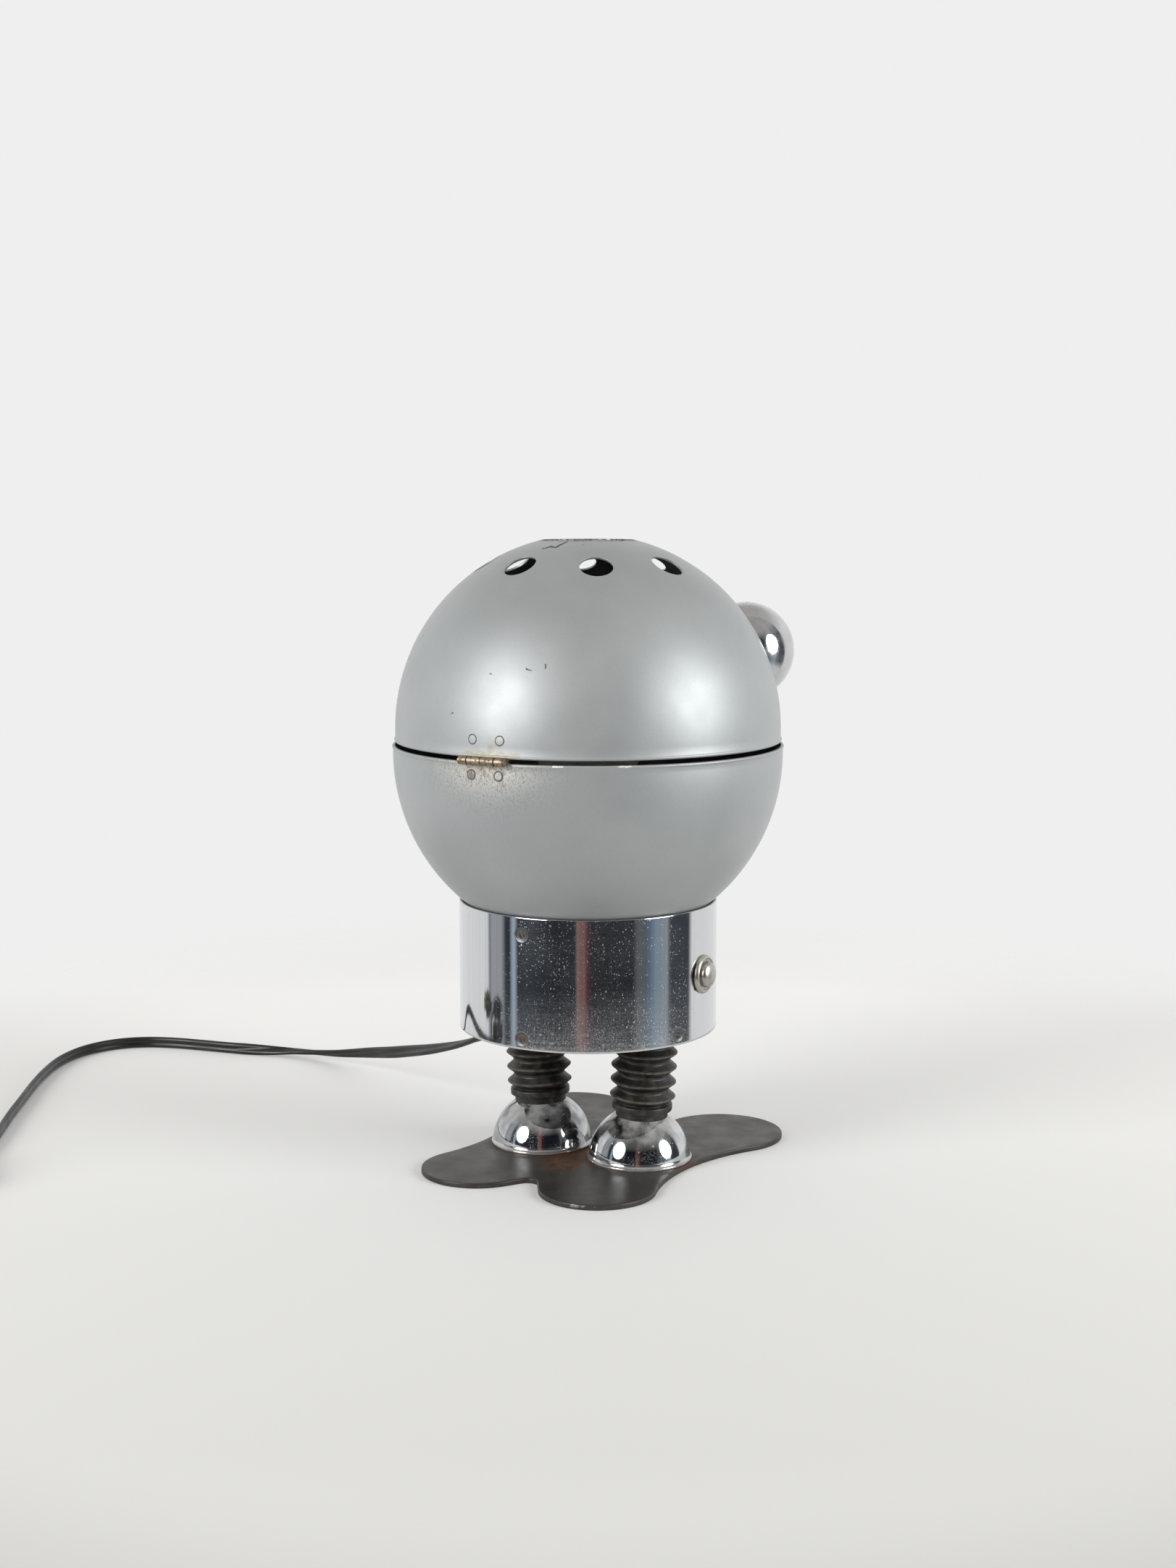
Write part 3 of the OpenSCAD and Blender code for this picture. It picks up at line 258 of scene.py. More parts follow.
def material(name, colour, **values):
    """New material with one shader: its base colour, and the shader's plain values by socket name,
    with _ for a blank. Returns the material and the object's coordinates."""
    made = bpy.data.materials.new(name)
    made.use_nodes = True
    sockets = made.node_tree.nodes["Principled BSDF"].inputs
    sockets["Base Color"].default_value = rgb(colour)
    for key, value in values.items():
        sockets[key.replace("_", " ")].default_value = value
    return made, add("TexCoord", {}, "Object", made.node_tree)


def feed(made, **outputs):
    """Links outputs to the material's shader, by socket name with _ for a blank. Returns the material."""
    tree = made.node_tree
    for key, value in outputs.items():
        tree.links.new(value.socket, tree.nodes["Principled BSDF"].inputs[key.replace("_", " ")])
    return made


def band(value, low, high):
    """0 where a value in mm is below low and 1 above high; the other way round if low is larger."""
    return add("MapRange", (value, low * MM, high * MM))


def noise(where, size, detail=3, stretch=(1, 1, 1), low=0.35, high=0.65, rough=0.5):
    """Cloudy pattern from 0 to 1 with clouds of about this size in mm, shorter along the stretched
    axes."""
    scaled = add("Mapping", {"Vector": where, "Scale": stretch})
    sizes = {"Scale": 1 / (size * MM), "Detail": detail, "Roughness": rough}
    return add("MapRange", (add("TexNoise", {"Vector": scaled, **sizes}), low, high))


def mixed(factor, first, second):
    """Colour that goes from first to second with the factor; a colour is a hex value or an output."""
    ends = {key: rgb(value) if isinstance(value, str) else value for key, value in ((6, first), (7, second))}
    return add("Mix", {0: factor, **ends}, 2, data_type="RGBA")


def largest(first, *others):
    """The largest of these outputs."""
    for other in others:
        first = first | other
    return first


def near(where, point, radius, soft):
    """1 within a radius of a point and 0 from radius + soft on, in mm."""
    return band(where.join("DISTANCE", Vector(point) * MM), radius + soft, radius)


def near_line(where, ends, width):
    """1 close to the line between two points in mm. With p from its start and l along it, the distance
    is |p - l clamp(p.l / l.l)|."""
    start, end = (Vector(point) * MM for point in ends)
    along = end - start
    offset = where - start
    share = offset.join("DOT_PRODUCT", along / along.length_squared)
    share = add("Math", (share, 0.0), operation="ADD", use_clamp=True)
    foot = add("VectorMath", {0: along, "Scale": share}, operation="SCALE")
    return band((offset - foot).join("LENGTH"), width * 1.3, width * 0.7)


def shaken(where, size, reach):
    """The coordinates, displaced by up to about reach mm by noise of this size, for ragged edges."""
    wild = add("TexNoise", {"Vector": where, "Scale": 1 / (size * MM), "Detail": 3}, "Color")
    return where.join("ADD", (wild - (0.5, 0.5, 0.5)) * ((4 * reach * MM,) * 3))


# ---- sizes ----

body_low, body_high = box("body_shell")

PLATE_T = box("foot_plate")[1][2]
BODY_Z, BODY_TOP = body_low[2], body_high[2]
BASE_Z = BODY_Z + 0.8  # underside of the base plate
BODY_R = body_high[1]
BODY_T = 1.2
HEAD_R = 75
HEAD_T = 1
LOWER_RIM = box("lower_head_shell")[1][2]
LOWER_SKIRT = 3.2
HEAD_Z = LOWER_RIM - LOWER_SKIRT
UPPER_RIM = box("upper_head_shell")[0][2]
UPPER_SKIRT = 4.4
CROWN_R = 74.1
CROWN_Z = UPPER_RIM + UPPER_SKIRT
TOP_HOLE_R = 17.25
VENT_R = 6.25
VENT_COUNT = 8
VENT_LAT = 58.5
VENT_TURN = 34
ANKLE = np.array([22, -2, PLATE_T])
LEG_SPLAY = radians(3)
DOME_R = 19.9
HINGE_Z = (LOWER_RIM + UPPER_RIM) / 2
HIGH_RIVET_Z = HINGE_Z + 7.3
LOW_RIVET_Z = HINGE_Z - 5.3
RIVET_X = 5.7
RIVET_HEAD_R = 1.7

# ---- camera ----

CAMERA_OUT = 834.1  # from the body's axis
CAMERA_UP = 256.6
CAMERA_TURN = radians(29.5)  # from straight behind the lamp, towards its right hand side
CAMERA_DOWN = radians(7.43)
LENS, SENSOR = 49.9, 36  # mm, the sensor is measured along the frame's longer side


def make_camera():
    """Camera behind the lamp, turned towards its axis and tilted down."""
    data = bpy.data.cameras.new("camera")
    data.lens = LENS
    data.sensor_width = SENSOR
    made = put("camera", data, (-sin(CAMERA_TURN) * CAMERA_OUT, cos(CAMERA_TURN) * CAMERA_OUT, CAMERA_UP))
    made.rotation_euler = (pi / 2 - CAMERA_DOWN, 0, pi + CAMERA_TURN)
    bpy.context.scene.camera = made


# ---- mains cord ----

CORD_W = 5.2  # flat twin cord
CORD_T = 2.6
GROOVE = 0.75  # depth of the groove between its two cores, on each side
GROOVE_W = 0.7
CORD_STEP = 1.6  # between the points along it
EDGE_Z = CORD_W / 2 + 0.05  # of a cord that stands on its edge
BUSH = np.array([37.5, -12.5, BASE_Z])
NOSE_TILT = radians(50)  # from straight down
NOSE_TURN = radians(-7.5)
NOSE_L = 15
NOSE = np.array([sin(NOSE_TILT) * cos(NOSE_TURN), sin(NOSE_TILT) * sin(NOSE_TURN), -cos(NOSE_TILT)])
NOSE_TIP = BUSH + NOSE_L * NOSE

# From the bush over the floor to the side of the coil
CORD_ROUTE = [
    NOSE_TIP, (55, -15, 39.5), (61, -17, 36), (74, -23, 30.5), (87, -29, 26), (100, -35, 22), (114, -42, 18),
    (127, -48, 14.5), (141, -55, 11), (154, -60, 8), (167, -63, 5.5), (180, -65, 3.8), (193, -64, 3),
    *((x, y, EDGE_Z) for x, y in (
        (207, -60), (222, -56), (238, -53), (252, -50), (264, -45), (273, -37), (278, -26), (279, -13),
        (275, 4), (266, 23), (255, 42), (243, 61), (231, 80), (219, 98), (207, 117), (193.2, 138.8)))]
IN_COIL, AT_PLUG = 99, 101
TWIST_POINTS = (2, 7, 12, 14, IN_COIL, AT_PLUG)  # route points between which the cord twists evenly
TWIST = (0, 90, 180, 270, 270, 360)  # its roll there; 0 and 180 are flat, 90 and 270 on edge
ROUTE_STEPS = 6

COIL = np.array([211.8, 169.1, 0])
COIL_R = 27.7  # at the middle of its turns
TURN_PITCH = 2.8
COIL_IN = 212  # degrees, where the cord joins the coil
COIL_OUT = 30  # degrees, where it leaves again
TURNS = 7 + (COIL_IN - COIL_OUT) / 360
STEP_TURN = 0.3  # share of a turn over which the radius changes by a pitch
LAYER_Z = (3.15, 8.6)
TAIL_L = 32
TAIL_WAY = np.array([cos(radians(COIL_OUT - 90)), sin(radians(COIL_OUT - 90)), 0])
TAIL_STEPS = 8
PLUG_T = 12


def coil_line():
    """Clockwise turns: four inwards in the lower layer, then outwards on top of them. A turn keeps its
    radius and changes it by one pitch over its last part, and the cord climbs at the inner turn."""
    s = np.arange(0, TURNS, 1 / 72)
    inwards = sum(ease(s, k - STEP_TURN, k) for k in (1, 2, 3))
    outwards = sum(ease(s, k - STEP_TURN, k) for k in (5, 6, 7))
    r = COIL_R + TURN_PITCH * (1.5 - inwards + outwards)
    z = LAYER_Z[0] + (LAYER_Z[1] - LAYER_Z[0]) * ease(s, 3.4, 3.7)
    turn = np.radians(COIL_IN - 360 * s)
    return COIL + grid_of(r * np.cos(turn), r * np.sin(turn), z)


def plug_entry():
    """Where the cord enters the plug, straight on from the coil's last turn."""
    return (coil_line()[-1] + TAIL_L * TAIL_WAY) * (1, 1, 0) + (0, 0, PLUG_T / 2)


def make_cord(plastic, plug):
    """Flat twin cord: two round cores side by side with a groove between them, |y| = t/2 (1 - groove
    e^(-(x / width)^2)) round an oval section, rolled from flat to on edge along the route."""
    turns = coil_line()
    route = smooth_line(CORD_ROUTE, ROUTE_STEPS)
    share = np.arange(1, TAIL_STEPS + 1) / TAIL_STEPS
    tail = turns[-1] + share[:, None] * (plug_entry() - turns[-1])
    index = np.r_[np.arange(len(route)) / ROUTE_STEPS, np.full(len(turns), IN_COIL),
                  IN_COIL + (AT_PLUG - IN_COIL) * share]
    roll = np.interp(index, TWIST_POINTS, TWIST)
    both = evenly(np.column_stack([np.vstack([route, turns, tail]), roll]), CORD_STEP)
    line, roll = both[:, :3], np.radians(both[:, 3:])
    along = unit(np.gradient(line, axis=0))
    across = unit(np.cross(along, (0, 0, 1)))
    up = np.cross(across, along)
    broad, thin = across * np.cos(roll) + up * np.sin(roll), up * np.cos(roll) - across * np.sin(roll)
    k = np.linspace(0, 2 * pi, 33)
    x = CORD_W / 2 * bulged(np.cos(k), 0.8)
    y = CORD_T / 2 * np.sin(k) * (1 - GROOVE / CORD_T * 2 * np.exp(-((x / GROOVE_W) ** 2)))
    grid = line[:, None] + broad[:, None] * x[None, :, None] + thin[:, None] * y[None, :, None]
    ends = [np.repeat(grid[k : k + 1].mean(axis=1, keepdims=True), grid.shape[1], axis=1) for k in (0, -1)]
    cord = surface("mains_flex", np.vstack([ends[0], grid, ends[1]]))
    finish_piece(cord, "base", plastic, "cord_plastic", "mains_cord", "cord_coil", "cord_tail")


# ---- feet and legs ----

HEEL, HEEL_R = np.array([26.1, 39.1]), 22.3
TOE, TOE_R = np.array([34.5, -49.5]), 24.5
WAIST_R = 80
HEEL_NOTCH, HEEL_NOTCH_R = np.array([0.0, 47]), 4
TOE_NOTCH, TOE_NOTCH_R = np.array([0.0, -25]), 3
PLATE_EDGE = 0.45  # rounding of the plate's sawn edge
PLATE_BORDER = 1.5  # width of the rounded strip


def touching(a, ra, b, rb, r):
    """Centre of a circle of radius r that touches circles a and b from outside, to their right."""
    d = np.linalg.norm(b - a)
    along = ((r + ra) ** 2 - (r + rb) ** 2 + d * d) / (2 * d)
    u = (b - a) / d
    return a + along * u + sqrt((r + ra) ** 2 - along**2) * np.array([u[1], -u[0]])


def cross_tangent(n, rn, c, rc, side):
    """Touching points of the line that passes between circle n and circle c."""
    v = c - n
    turn = atan2(v[1], v[0]) + side * (asin((rn + rc) / np.linalg.norm(v)) + pi / 2)
    off = np.array([cos(turn), sin(turn)])
    return n - rn * off, c + rc * off


def arc(centre, radius, first, last, way, steps):
    """Points on a circle from the direction of one point to that of another, anticlockwise if way is 1."""
    a, b = (degrees(atan2(*(p - centre)[::-1])) for p in (first, last))
    return circle(radius, a, a + way * ((way * (b - a)) % 360), steps, centre)


def foot_outline():
    """Half the plate from the heel notch round the robot's left foot to the toe notch, then its mirror
    image back."""
    waist = touching(TOE, TOE_R, HEEL, HEEL_R, WAIST_R)
    back = cross_tangent(HEEL_NOTCH, HEEL_NOTCH_R, HEEL, HEEL_R, 1)
    front = cross_tangent(TOE_NOTCH, TOE_NOTCH_R, TOE, TOE_R, -1)
    half = np.vstack([
        arc(HEEL_NOTCH, HEEL_NOTCH_R, HEEL_NOTCH - (0, 1), back[0], 1, 8),
        arc(HEEL, HEEL_R, back[1], waist, -1, 72),
        arc(waist, WAIST_R, HEEL, TOE, 1, 24),
        arc(TOE, TOE_R, waist, front[1], -1, 72),
        arc(TOE_NOTCH, TOE_NOTCH_R, front[0], TOE_NOTCH + (0, 1), 1, 8)])
    return np.vstack([half, half[-2::-1] * (-1, 1)])


def make_foot_plate(steel):
    """The outline as rings: the inset s and height z of each ring follow a rounded edge, and the open
    rings above and below are filled."""
    line = foot_outline()
    ring = line[:-1][np.linalg.norm(np.diff(line, axis=0), axis=1) > SAME]
    along = unit(np.roll(ring, -1, axis=0) - np.roll(ring, 1, axis=0))
    inwards = grid_of(along[:, 1], -along[:, 0])
    edge = rounded([(PLATE_BORDER, 0), (0, 0), (0, PLATE_T), (PLATE_BORDER, PLATE_T)], PLATE_EDGE)
    rings = ring[None] + inwards[None] * edge[:, None, :1]
    grid = grid_of(rings[..., 0], rings[..., 1], edge[:, 1:])
    plate = surface("foot_sheet", np.concatenate([grid, grid[:, :1]], axis=1))
    finish_piece(plate, "base", steel, "satin_black_steel", "foot_plate")


def make_ankle_dome(side, name, chrome):
    """Pressed hemisphere with a small rolled rim: a quarter circle from the rim to the leg's hole, and
    back inside it."""
    inner_r, rim_r = DOME_R - 1, DOME_R + 0.6
    profile = np.vstack([
        rounded([(inner_r, 0), (rim_r, 0), (rim_r, 0.9), (DOME_R + 0.05, 1.1)], (0, 0.3, 0.35, 0)),
        circle(DOME_R, 5, 74, 35)[1:],
        circle(inner_r, 74, 5, 35),
        [(inner_r, 0)]])
    dome = surface(f"ankle_cup_{name}", revolve(profile, 128) + ANKLE * (side, 1, 1))
    finish_piece(dome, "base", chrome, "chrome_plate", f"ankle_dome_{name}")


COLLAR_R, RIDGE_R, VALLEY_R = 11.75, 12.75, 10.15
COLLAR_Z, COLLAR_H = 19.85, 2.5
RIDGE_LOW, RIDGE_PITCH, RIDGE_COUNT = 25.3, 5.9, 5
RIDGE_FLAT, VALLEY_FLAT = 0.32, 1.2
BELLOWS_T = 1.3
SAG = 0.10  # unevenness of the ridges


def make_bellows(side, name, rubber):
    """Moulded rubber boot along a leaning leg: a collar, then ridges that rise from each valley in
    nearly straight flanks. The rubber is slightly uneven round its turn."""
    foot = [(r, sqrt(DOME_R**2 - r**2) + 0.05) for r in (VALLEY_R, VALLEY_R - BELLOWS_T)]
    outer = [foot[0], (VALLEY_R, COLLAR_Z), (COLLAR_R, COLLAR_Z), (COLLAR_R, COLLAR_Z + COLLAR_H)]
    radii = [0.1, 0.4, 0.5, 0.5]
    for k in range(RIDGE_COUNT):
        z = RIDGE_LOW + k * RIDGE_PITCH
        half = (RIDGE_PITCH - VALLEY_FLAT) / 2
        outer += [(VALLEY_R, z - half), (RIDGE_R, z - RIDGE_FLAT / 2), (RIDGE_R, z + RIDGE_FLAT / 2),
                  (VALLEY_R, z + half)]
        radii += [0.4, 0.14, 0.14, 0.4]
    outer += [(VALLEY_R, BASE_Z - PLATE_T + 1)]
    radii += [0.1]
    inner = [(r - BELLOWS_T, z) for r, z in outer[:0:-1]] + [foot[1]]
    profile = rounded(outer + inner, radii + radii[::-1], closed=True)
    grid = revolve(profile)
    turn = np.linspace(0, 2 * pi, grid.shape[1])
    grid[..., 2] += SAG * np.sin(3 * turn + profile[:, 1:] * 0.45 + side) * ease(profile[:, 1:], 22, 26)
    grid = placed(grid, ANKLE * (side, 1, 1), (side * sin(LEG_SPLAY), 0, cos(LEG_SPLAY)), side=(0, 1, 0))
    grid[..., 2] = np.minimum(grid[..., 2], BASE_Z - 0.05)
    boot = surface(f"rubber_boot_{name}", grid)
    finish_piece(boot, "base", rubber, "bellows_rubber", f"bellows_{name}")


# ---- body ----

BASE_SCREW_Z = BODY_Z + 4.1
BRACKET_SCREW_Z = BODY_TOP - 6.5
LOW_TURNS = np.arange(5) * 72
HIGH_TURNS = np.array([0, 180])
SCREWS = [(turn, BASE_SCREW_Z) for turn in LOW_TURNS] + [(turn, BRACKET_SCREW_Z) for turn in HIGH_TURNS]
DIMPLE_R = 2.75  # pressed dimple round each screw
DIMPLE_REACH = DIMPLE_R * 1.12  # of the finer grid round it
DIMPLE_STEPS = 13
DIMPLE_DEEP = 0.32
SCREW_R = 2.05
SCREW_SUNK = 0.45
SWITCH_Z = BODY_Z + 24.7
SWITCH_HOLE_R = 6.15
LIP = 0.35  # rounding of the tube's edges


def finer(coarse, centres, reach):
    """Sorted grid values: the coarse ones, and finer ones around each centre."""
    step = reach / DIMPLE_STEPS
    fine = [c + np.arange(-reach, reach + step / 2, step) for c in centres]
    keep = np.array([min((abs(v - c) for c in centres)) > reach + step / 2 for v in coarse])
    return np.unique(np.round(np.concatenate([np.asarray(coarse)[keep], *fine]), 6))


def make_body(chrome):
    """Tube of radius r with rolled edges. Round each screw the sheet is pressed in by
    d (1 - smooth step of the distance), inside and outside alike."""
    turns = finer(np.arange(0, 361, 2), (*LOW_TURNS, *HIGH_TURNS, 360), degrees(DIMPLE_REACH / BODY_R))
    turns = np.unique(np.clip(turns, 0, 360))
    low, high = BODY_Z + LIP, BODY_TOP - LIP
    rows = finer(np.linspace(low, high, 22), (BASE_SCREW_Z, BRACKET_SCREW_Z), DIMPLE_REACH)
    rows = rows[(rows > low) & (rows < high)]
    inner_r = BODY_R - BODY_T
    top = [(BODY_R, high - LIP), (BODY_R, BODY_TOP), (inner_r, BODY_TOP), (inner_r, high - LIP)]
    outline = np.vstack([
        rounded([(inner_r, BODY_Z), (BODY_R, BODY_Z), (BODY_R, low + LIP)], (0, LIP, 0))[:-1],
        grid_of(BODY_R, rows),
        rounded(top, LIP)[1:-1],
        grid_of(inner_r, rows[::-1]),
        [(inner_r, BODY_Z)]])
    r, z = outline.T[:, :, None]
    for turn, height in SCREWS:
        aside = (turns - turn + 180) % 360 - 180
        distance = np.hypot(np.radians(aside) * BODY_R, z - height)
        r = r - DIMPLE_DEEP * (1 - ease(distance, SCREW_R - 0.1, DIMPLE_R))
    t = np.radians(turns)
    body = surface("body_tube", grid_of(-r * np.sin(t), r * np.cos(t), z))
    hole = revolve([(0, -4), (SWITCH_HOLE_R, -4), (SWITCH_HOLE_R, 4), (0, 4)], 64)
    cut_with(body, surface("hole_cutter", placed(hole, (-BODY_R, 0, SWITCH_Z), (-1, 0, 0))))
    finish_piece(body, "base", chrome, "chrome_plate", "body_shell")


def cut_with(made, cutter):
    """Takes the cutter's shape away from the piece and keeps the resulting mesh."""
    cut = made.modifiers.new("hole", "BOOLEAN")
    cut.operation = "DIFFERENCE"
    cut.object = cutter
    cut.solver = "EXACT"
    bpy.context.view_layer.update()
    result = bpy.data.meshes.new_from_object(made.evaluated_get(bpy.context.evaluated_depsgraph_get()))
    made.modifiers.clear()
    made.data = result
    bpy.data.objects.remove(cutter)


def screw_grid(spin):
    """Low domed slotted screw head with its shank, along Z: the square u, v in -1..1 is bent to a disc
    by x = u sqrt(1 - v^2/2), y = v sqrt(1 - u^2/2), and the slot is a step down where |x| is small."""
    v = np.linspace(-1, 1, 21)
    u = np.unique(np.round(np.r_[np.linspace(-1, 1, 17), -0.2, -0.15, 0.15, 0.2], 4))[:, None]
    x, y = u * np.sqrt(1 - v**2 / 2), v * np.sqrt(1 - u**2 / 2)
    z = 0.42 * (1 - x**2 - y**2) - 0.38 * (1 - ease(np.abs(x), 0.13, 0.21)) - 0.12
    c, s = cos(radians(spin)), sin(radians(spin))
    top = grid_of(SCREW_R * (c * x - s * y), SCREW_R * (s * x + c * y), z)
    rim = np.concatenate([top[0, :-1], top[:-1, -1], top[-1, :0:-1], top[:0:-1, 0], top[:1, 0]])
    low = [rim * (f, f, 0) + (0, 0, height) for f, height in ((1, -0.3), (0.5, -1.4), (0.5, -6), (0, -6))]
    return top, np.stack([rim, *low])


def body_point(turn, height, sunk=0.0):
    """Point on the tube, a turn in degrees from the hinge, sunk by this much."""
    t = radians(turn)
    return np.array([-sin(t) * (BODY_R - sunk), cos(t) * (BODY_R - sunk), height])


def make_body_screws(steel):
    for name, node, turns, height in (("base_plate_screw_set", "base_plate_screws", LOW_TURNS, BASE_SCREW_Z),
                                      ("bracket_screw_set", "bracket_screws", HIGH_TURNS, BRACKET_SCREW_Z)):
        seats = [body_point(turn, height, SCREW_SUNK) for turn in turns]
        grids = [placed(grid, seat, seat * (1, 1, 0)) for k, seat in enumerate(seats)
                 for grid in screw_grid(25 + 50 * k)]
        finish_piece(surface(name, *grids), "base", steel, "zinc_steel", node)


# ---- switch ----

BEZEL_X = BODY_R + 0.02
BEZEL_T = 1.6
BEZEL_R = 7.4
BEZEL_IN = 6.05
BUTTON_R = 4.9
BUTTON_FRONT = BEZEL_T + 2.9
BUTTON_DOME = 2.3
PLUNGER_Z = -3.8  # its foot, behind the ring's seat
STEM_R, STEM_Z = 2, -12.5


def make_switch(nickel):
    """Ring with a rolled outer edge, and a domed button: profiles turned round the switch's axis."""
    ring = rounded([(BEZEL_IN, 0), (BEZEL_R, 0), (BEZEL_R, BEZEL_T * 0.5), (BEZEL_R - 0.75, BEZEL_T),
                    (BEZEL_IN, BEZEL_T)], (0.1, 0.15, 0.5, 0.4, 0.3), steps=6, closed=True)
    button = np.vstack([
        circle(np.array([BUTTON_R, BUTTON_DOME]), 90, 0, 11, (0, BUTTON_FRONT - BUTTON_DOME)),
        rounded([(BUTTON_R, BUTTON_FRONT - BUTTON_DOME - 0.2), (BUTTON_R, PLUNGER_Z), (STEM_R, PLUNGER_Z),
                 (STEM_R, STEM_Z), (0, STEM_Z)], 0.1)])
    for name, profile, body, node in (("switch_ring", ring, "base", "switch_bezel"),
                                      ("push_button", button, "button", "switch_button")):
        made = surface(name, placed(revolve(profile), (-BEZEL_X, 0, SWITCH_Z), (-1, 0, 0)))
        finish_piece(made, body, nickel, "chrome_plate", node)


# ---- head ----

LOWER_BEAD_R = 0.6
UPPER_BEAD_R = 0.7
BEAD_IN = 0.4  # share of its radius by which a bead's centre lies inside the wall
EDGE = 0.22  # rounding of pressed and punched edges
POLE_HOLE_R = 5.15
PAINT_OVER = 1.2  # of the rim's inner side that keeps the outer colour
HEAD_COLUMNS = 192


def bead(rim_r, z, radius, first, last):
    """Half round bead at a rim: its outline from one angle to the other, in degrees."""
    return circle(radius, first, last, 8, (rim_r - radius * BEAD_IN, z))


def make_lower_shell(lacquer, inside):
    """Pressed bowl: outer ball, short straight rim with a bead, inner ball, and the hole at its lowest point.
    The inner face has its own darker colour, a painted shade."""
    inner_r = HEAD_R - HEAD_T
    low, inner_low = (-degrees(acos(POLE_HOLE_R / r)) for r in (HEAD_R, inner_r))
    outer = np.vstack([
        circle(HEAD_R, low, 0, 60),
        [(HEAD_R, LOWER_SKIRT - 2 * LOWER_BEAD_R - 0.3)],
        bead(HEAD_R, LOWER_SKIRT - LOWER_BEAD_R, LOWER_BEAD_R, -50, 90),
        rounded([(HEAD_R - 0.3, LOWER_SKIRT), (inner_r, LOWER_SKIRT), (inner_r, LOWER_SKIRT - 1)], EDGE)])
    inner = np.vstack([circle(inner_r, 0, inner_low, 60), [outer[0]]])
    shell = surface("lower_head_bowl", revolve(np.vstack([outer, inner]), HEAD_COLUMNS) + (0, 0, HEAD_Z))
    finish_piece(shell, "base", lacquer, "silver_lacquer", "lower_head_shell")
    shade_inside(shell, inside, HEAD_Z, inner_r + 0.3, LOWER_RIM - PAINT_OVER)


def shade_inside(shell, paint, centre_z, radius, rim):
    """Second material for the faces whose middle lies less than this radius from the ball's centre, or
    from its axis between the centre and the rim."""
    shell.data.materials.append(paint)
    middles = np.empty(len(shell.data.polygons) * 3)
    shell.data.polygons.foreach_get("center", middles)
    middles = middles.reshape(-1, 3) / MM - (0, 0, centre_z)
    level = np.where((middles[:, 2] > 0) == (rim > centre_z), 0, middles[:, 2])
    inner = np.hypot(np.hypot(middles[:, 0], middles[:, 1]), level) < radius
    shell.data.polygons.foreach_set("material_index", inner.astype(np.int32))


LAT_TOP, LAT_BOTTOM = 67.5, 49.5  # latitudes of the band that holds the vent holes
BLOCK_COLUMNS, BLOCK_ROWS = 24, 12
VENT_PITCH = 360 / VENT_COUNT


def ball_direction(turn, lat):
    """Unit vector at a turn from the hinge towards the robot's right, and a latitude, in degrees."""
    turn, lat = np.radians(turn), np.radians(lat)
    return grid_of(-np.cos(lat) * np.sin(turn), np.cos(lat) * np.cos(turn), np.sin(lat))


def vent_block(turn):
    """Part of the crown around one vent hole: rings that go from the block's edge to the hole's rounded
    edge on the outer ball, through the wall, and back to the block's edge on the inner ball. A ring is
    (x, y, sqrt(R^2 - x^2 - y^2)) round the hole's own axis."""
    turns = np.linspace(turn - VENT_PITCH / 2, turn + VENT_PITCH / 2, BLOCK_COLUMNS + 1)
    lats = np.linspace(LAT_BOTTOM, LAT_TOP, BLOCK_ROWS + 1)
    border = ball_direction(
        np.r_[turns, np.full(BLOCK_ROWS - 1, turns[-1]), turns[::-1], np.full(BLOCK_ROWS, turns[0])],
        np.r_[0 * turns + LAT_BOTTOM, lats[1:-1], 0 * turns + LAT_TOP, lats[-2::-1]])
    out = ball_direction(turn, VENT_LAT)
    east = unit(np.cross((0, 0, 1), out))
    north = np.cross(out, east)
    flat = grid_of(border @ east, border @ north)
    edge_r = VENT_R + EDGE
    blend = (np.linspace(0, 1, 8) ** 0.8)[:, None, None]
    arcs = np.radians(np.linspace(0, 90, 5))[:, None]
    rings = []
    for ball, way in ((CROWN_R, 1), (CROWN_R - HEAD_T, -1)):
        sheet = flat * ball * (1 - blend) + edge_r * unit(flat) * blend
        lip = unit(flat) * (edge_r - EDGE * np.sin(arcs))[..., None]
        drop = sqrt(ball**2 - edge_r**2) - way * EDGE * (1 - np.cos(arcs))
        half_rings = [grid_of(*np.moveaxis(sheet, -1, 0), np.sqrt(ball**2 - (sheet**2).sum(axis=-1))),
                      grid_of(*np.moveaxis(lip, -1, 0), drop)]
        rings += half_rings if way > 0 else [part[::-1] for part in half_rings[::-1]]
    rings = np.concatenate(rings)
    return (0, 0, CROWN_Z) + rings[..., :1] * east + rings[..., 1:2] * north + rings[..., 2:] * out


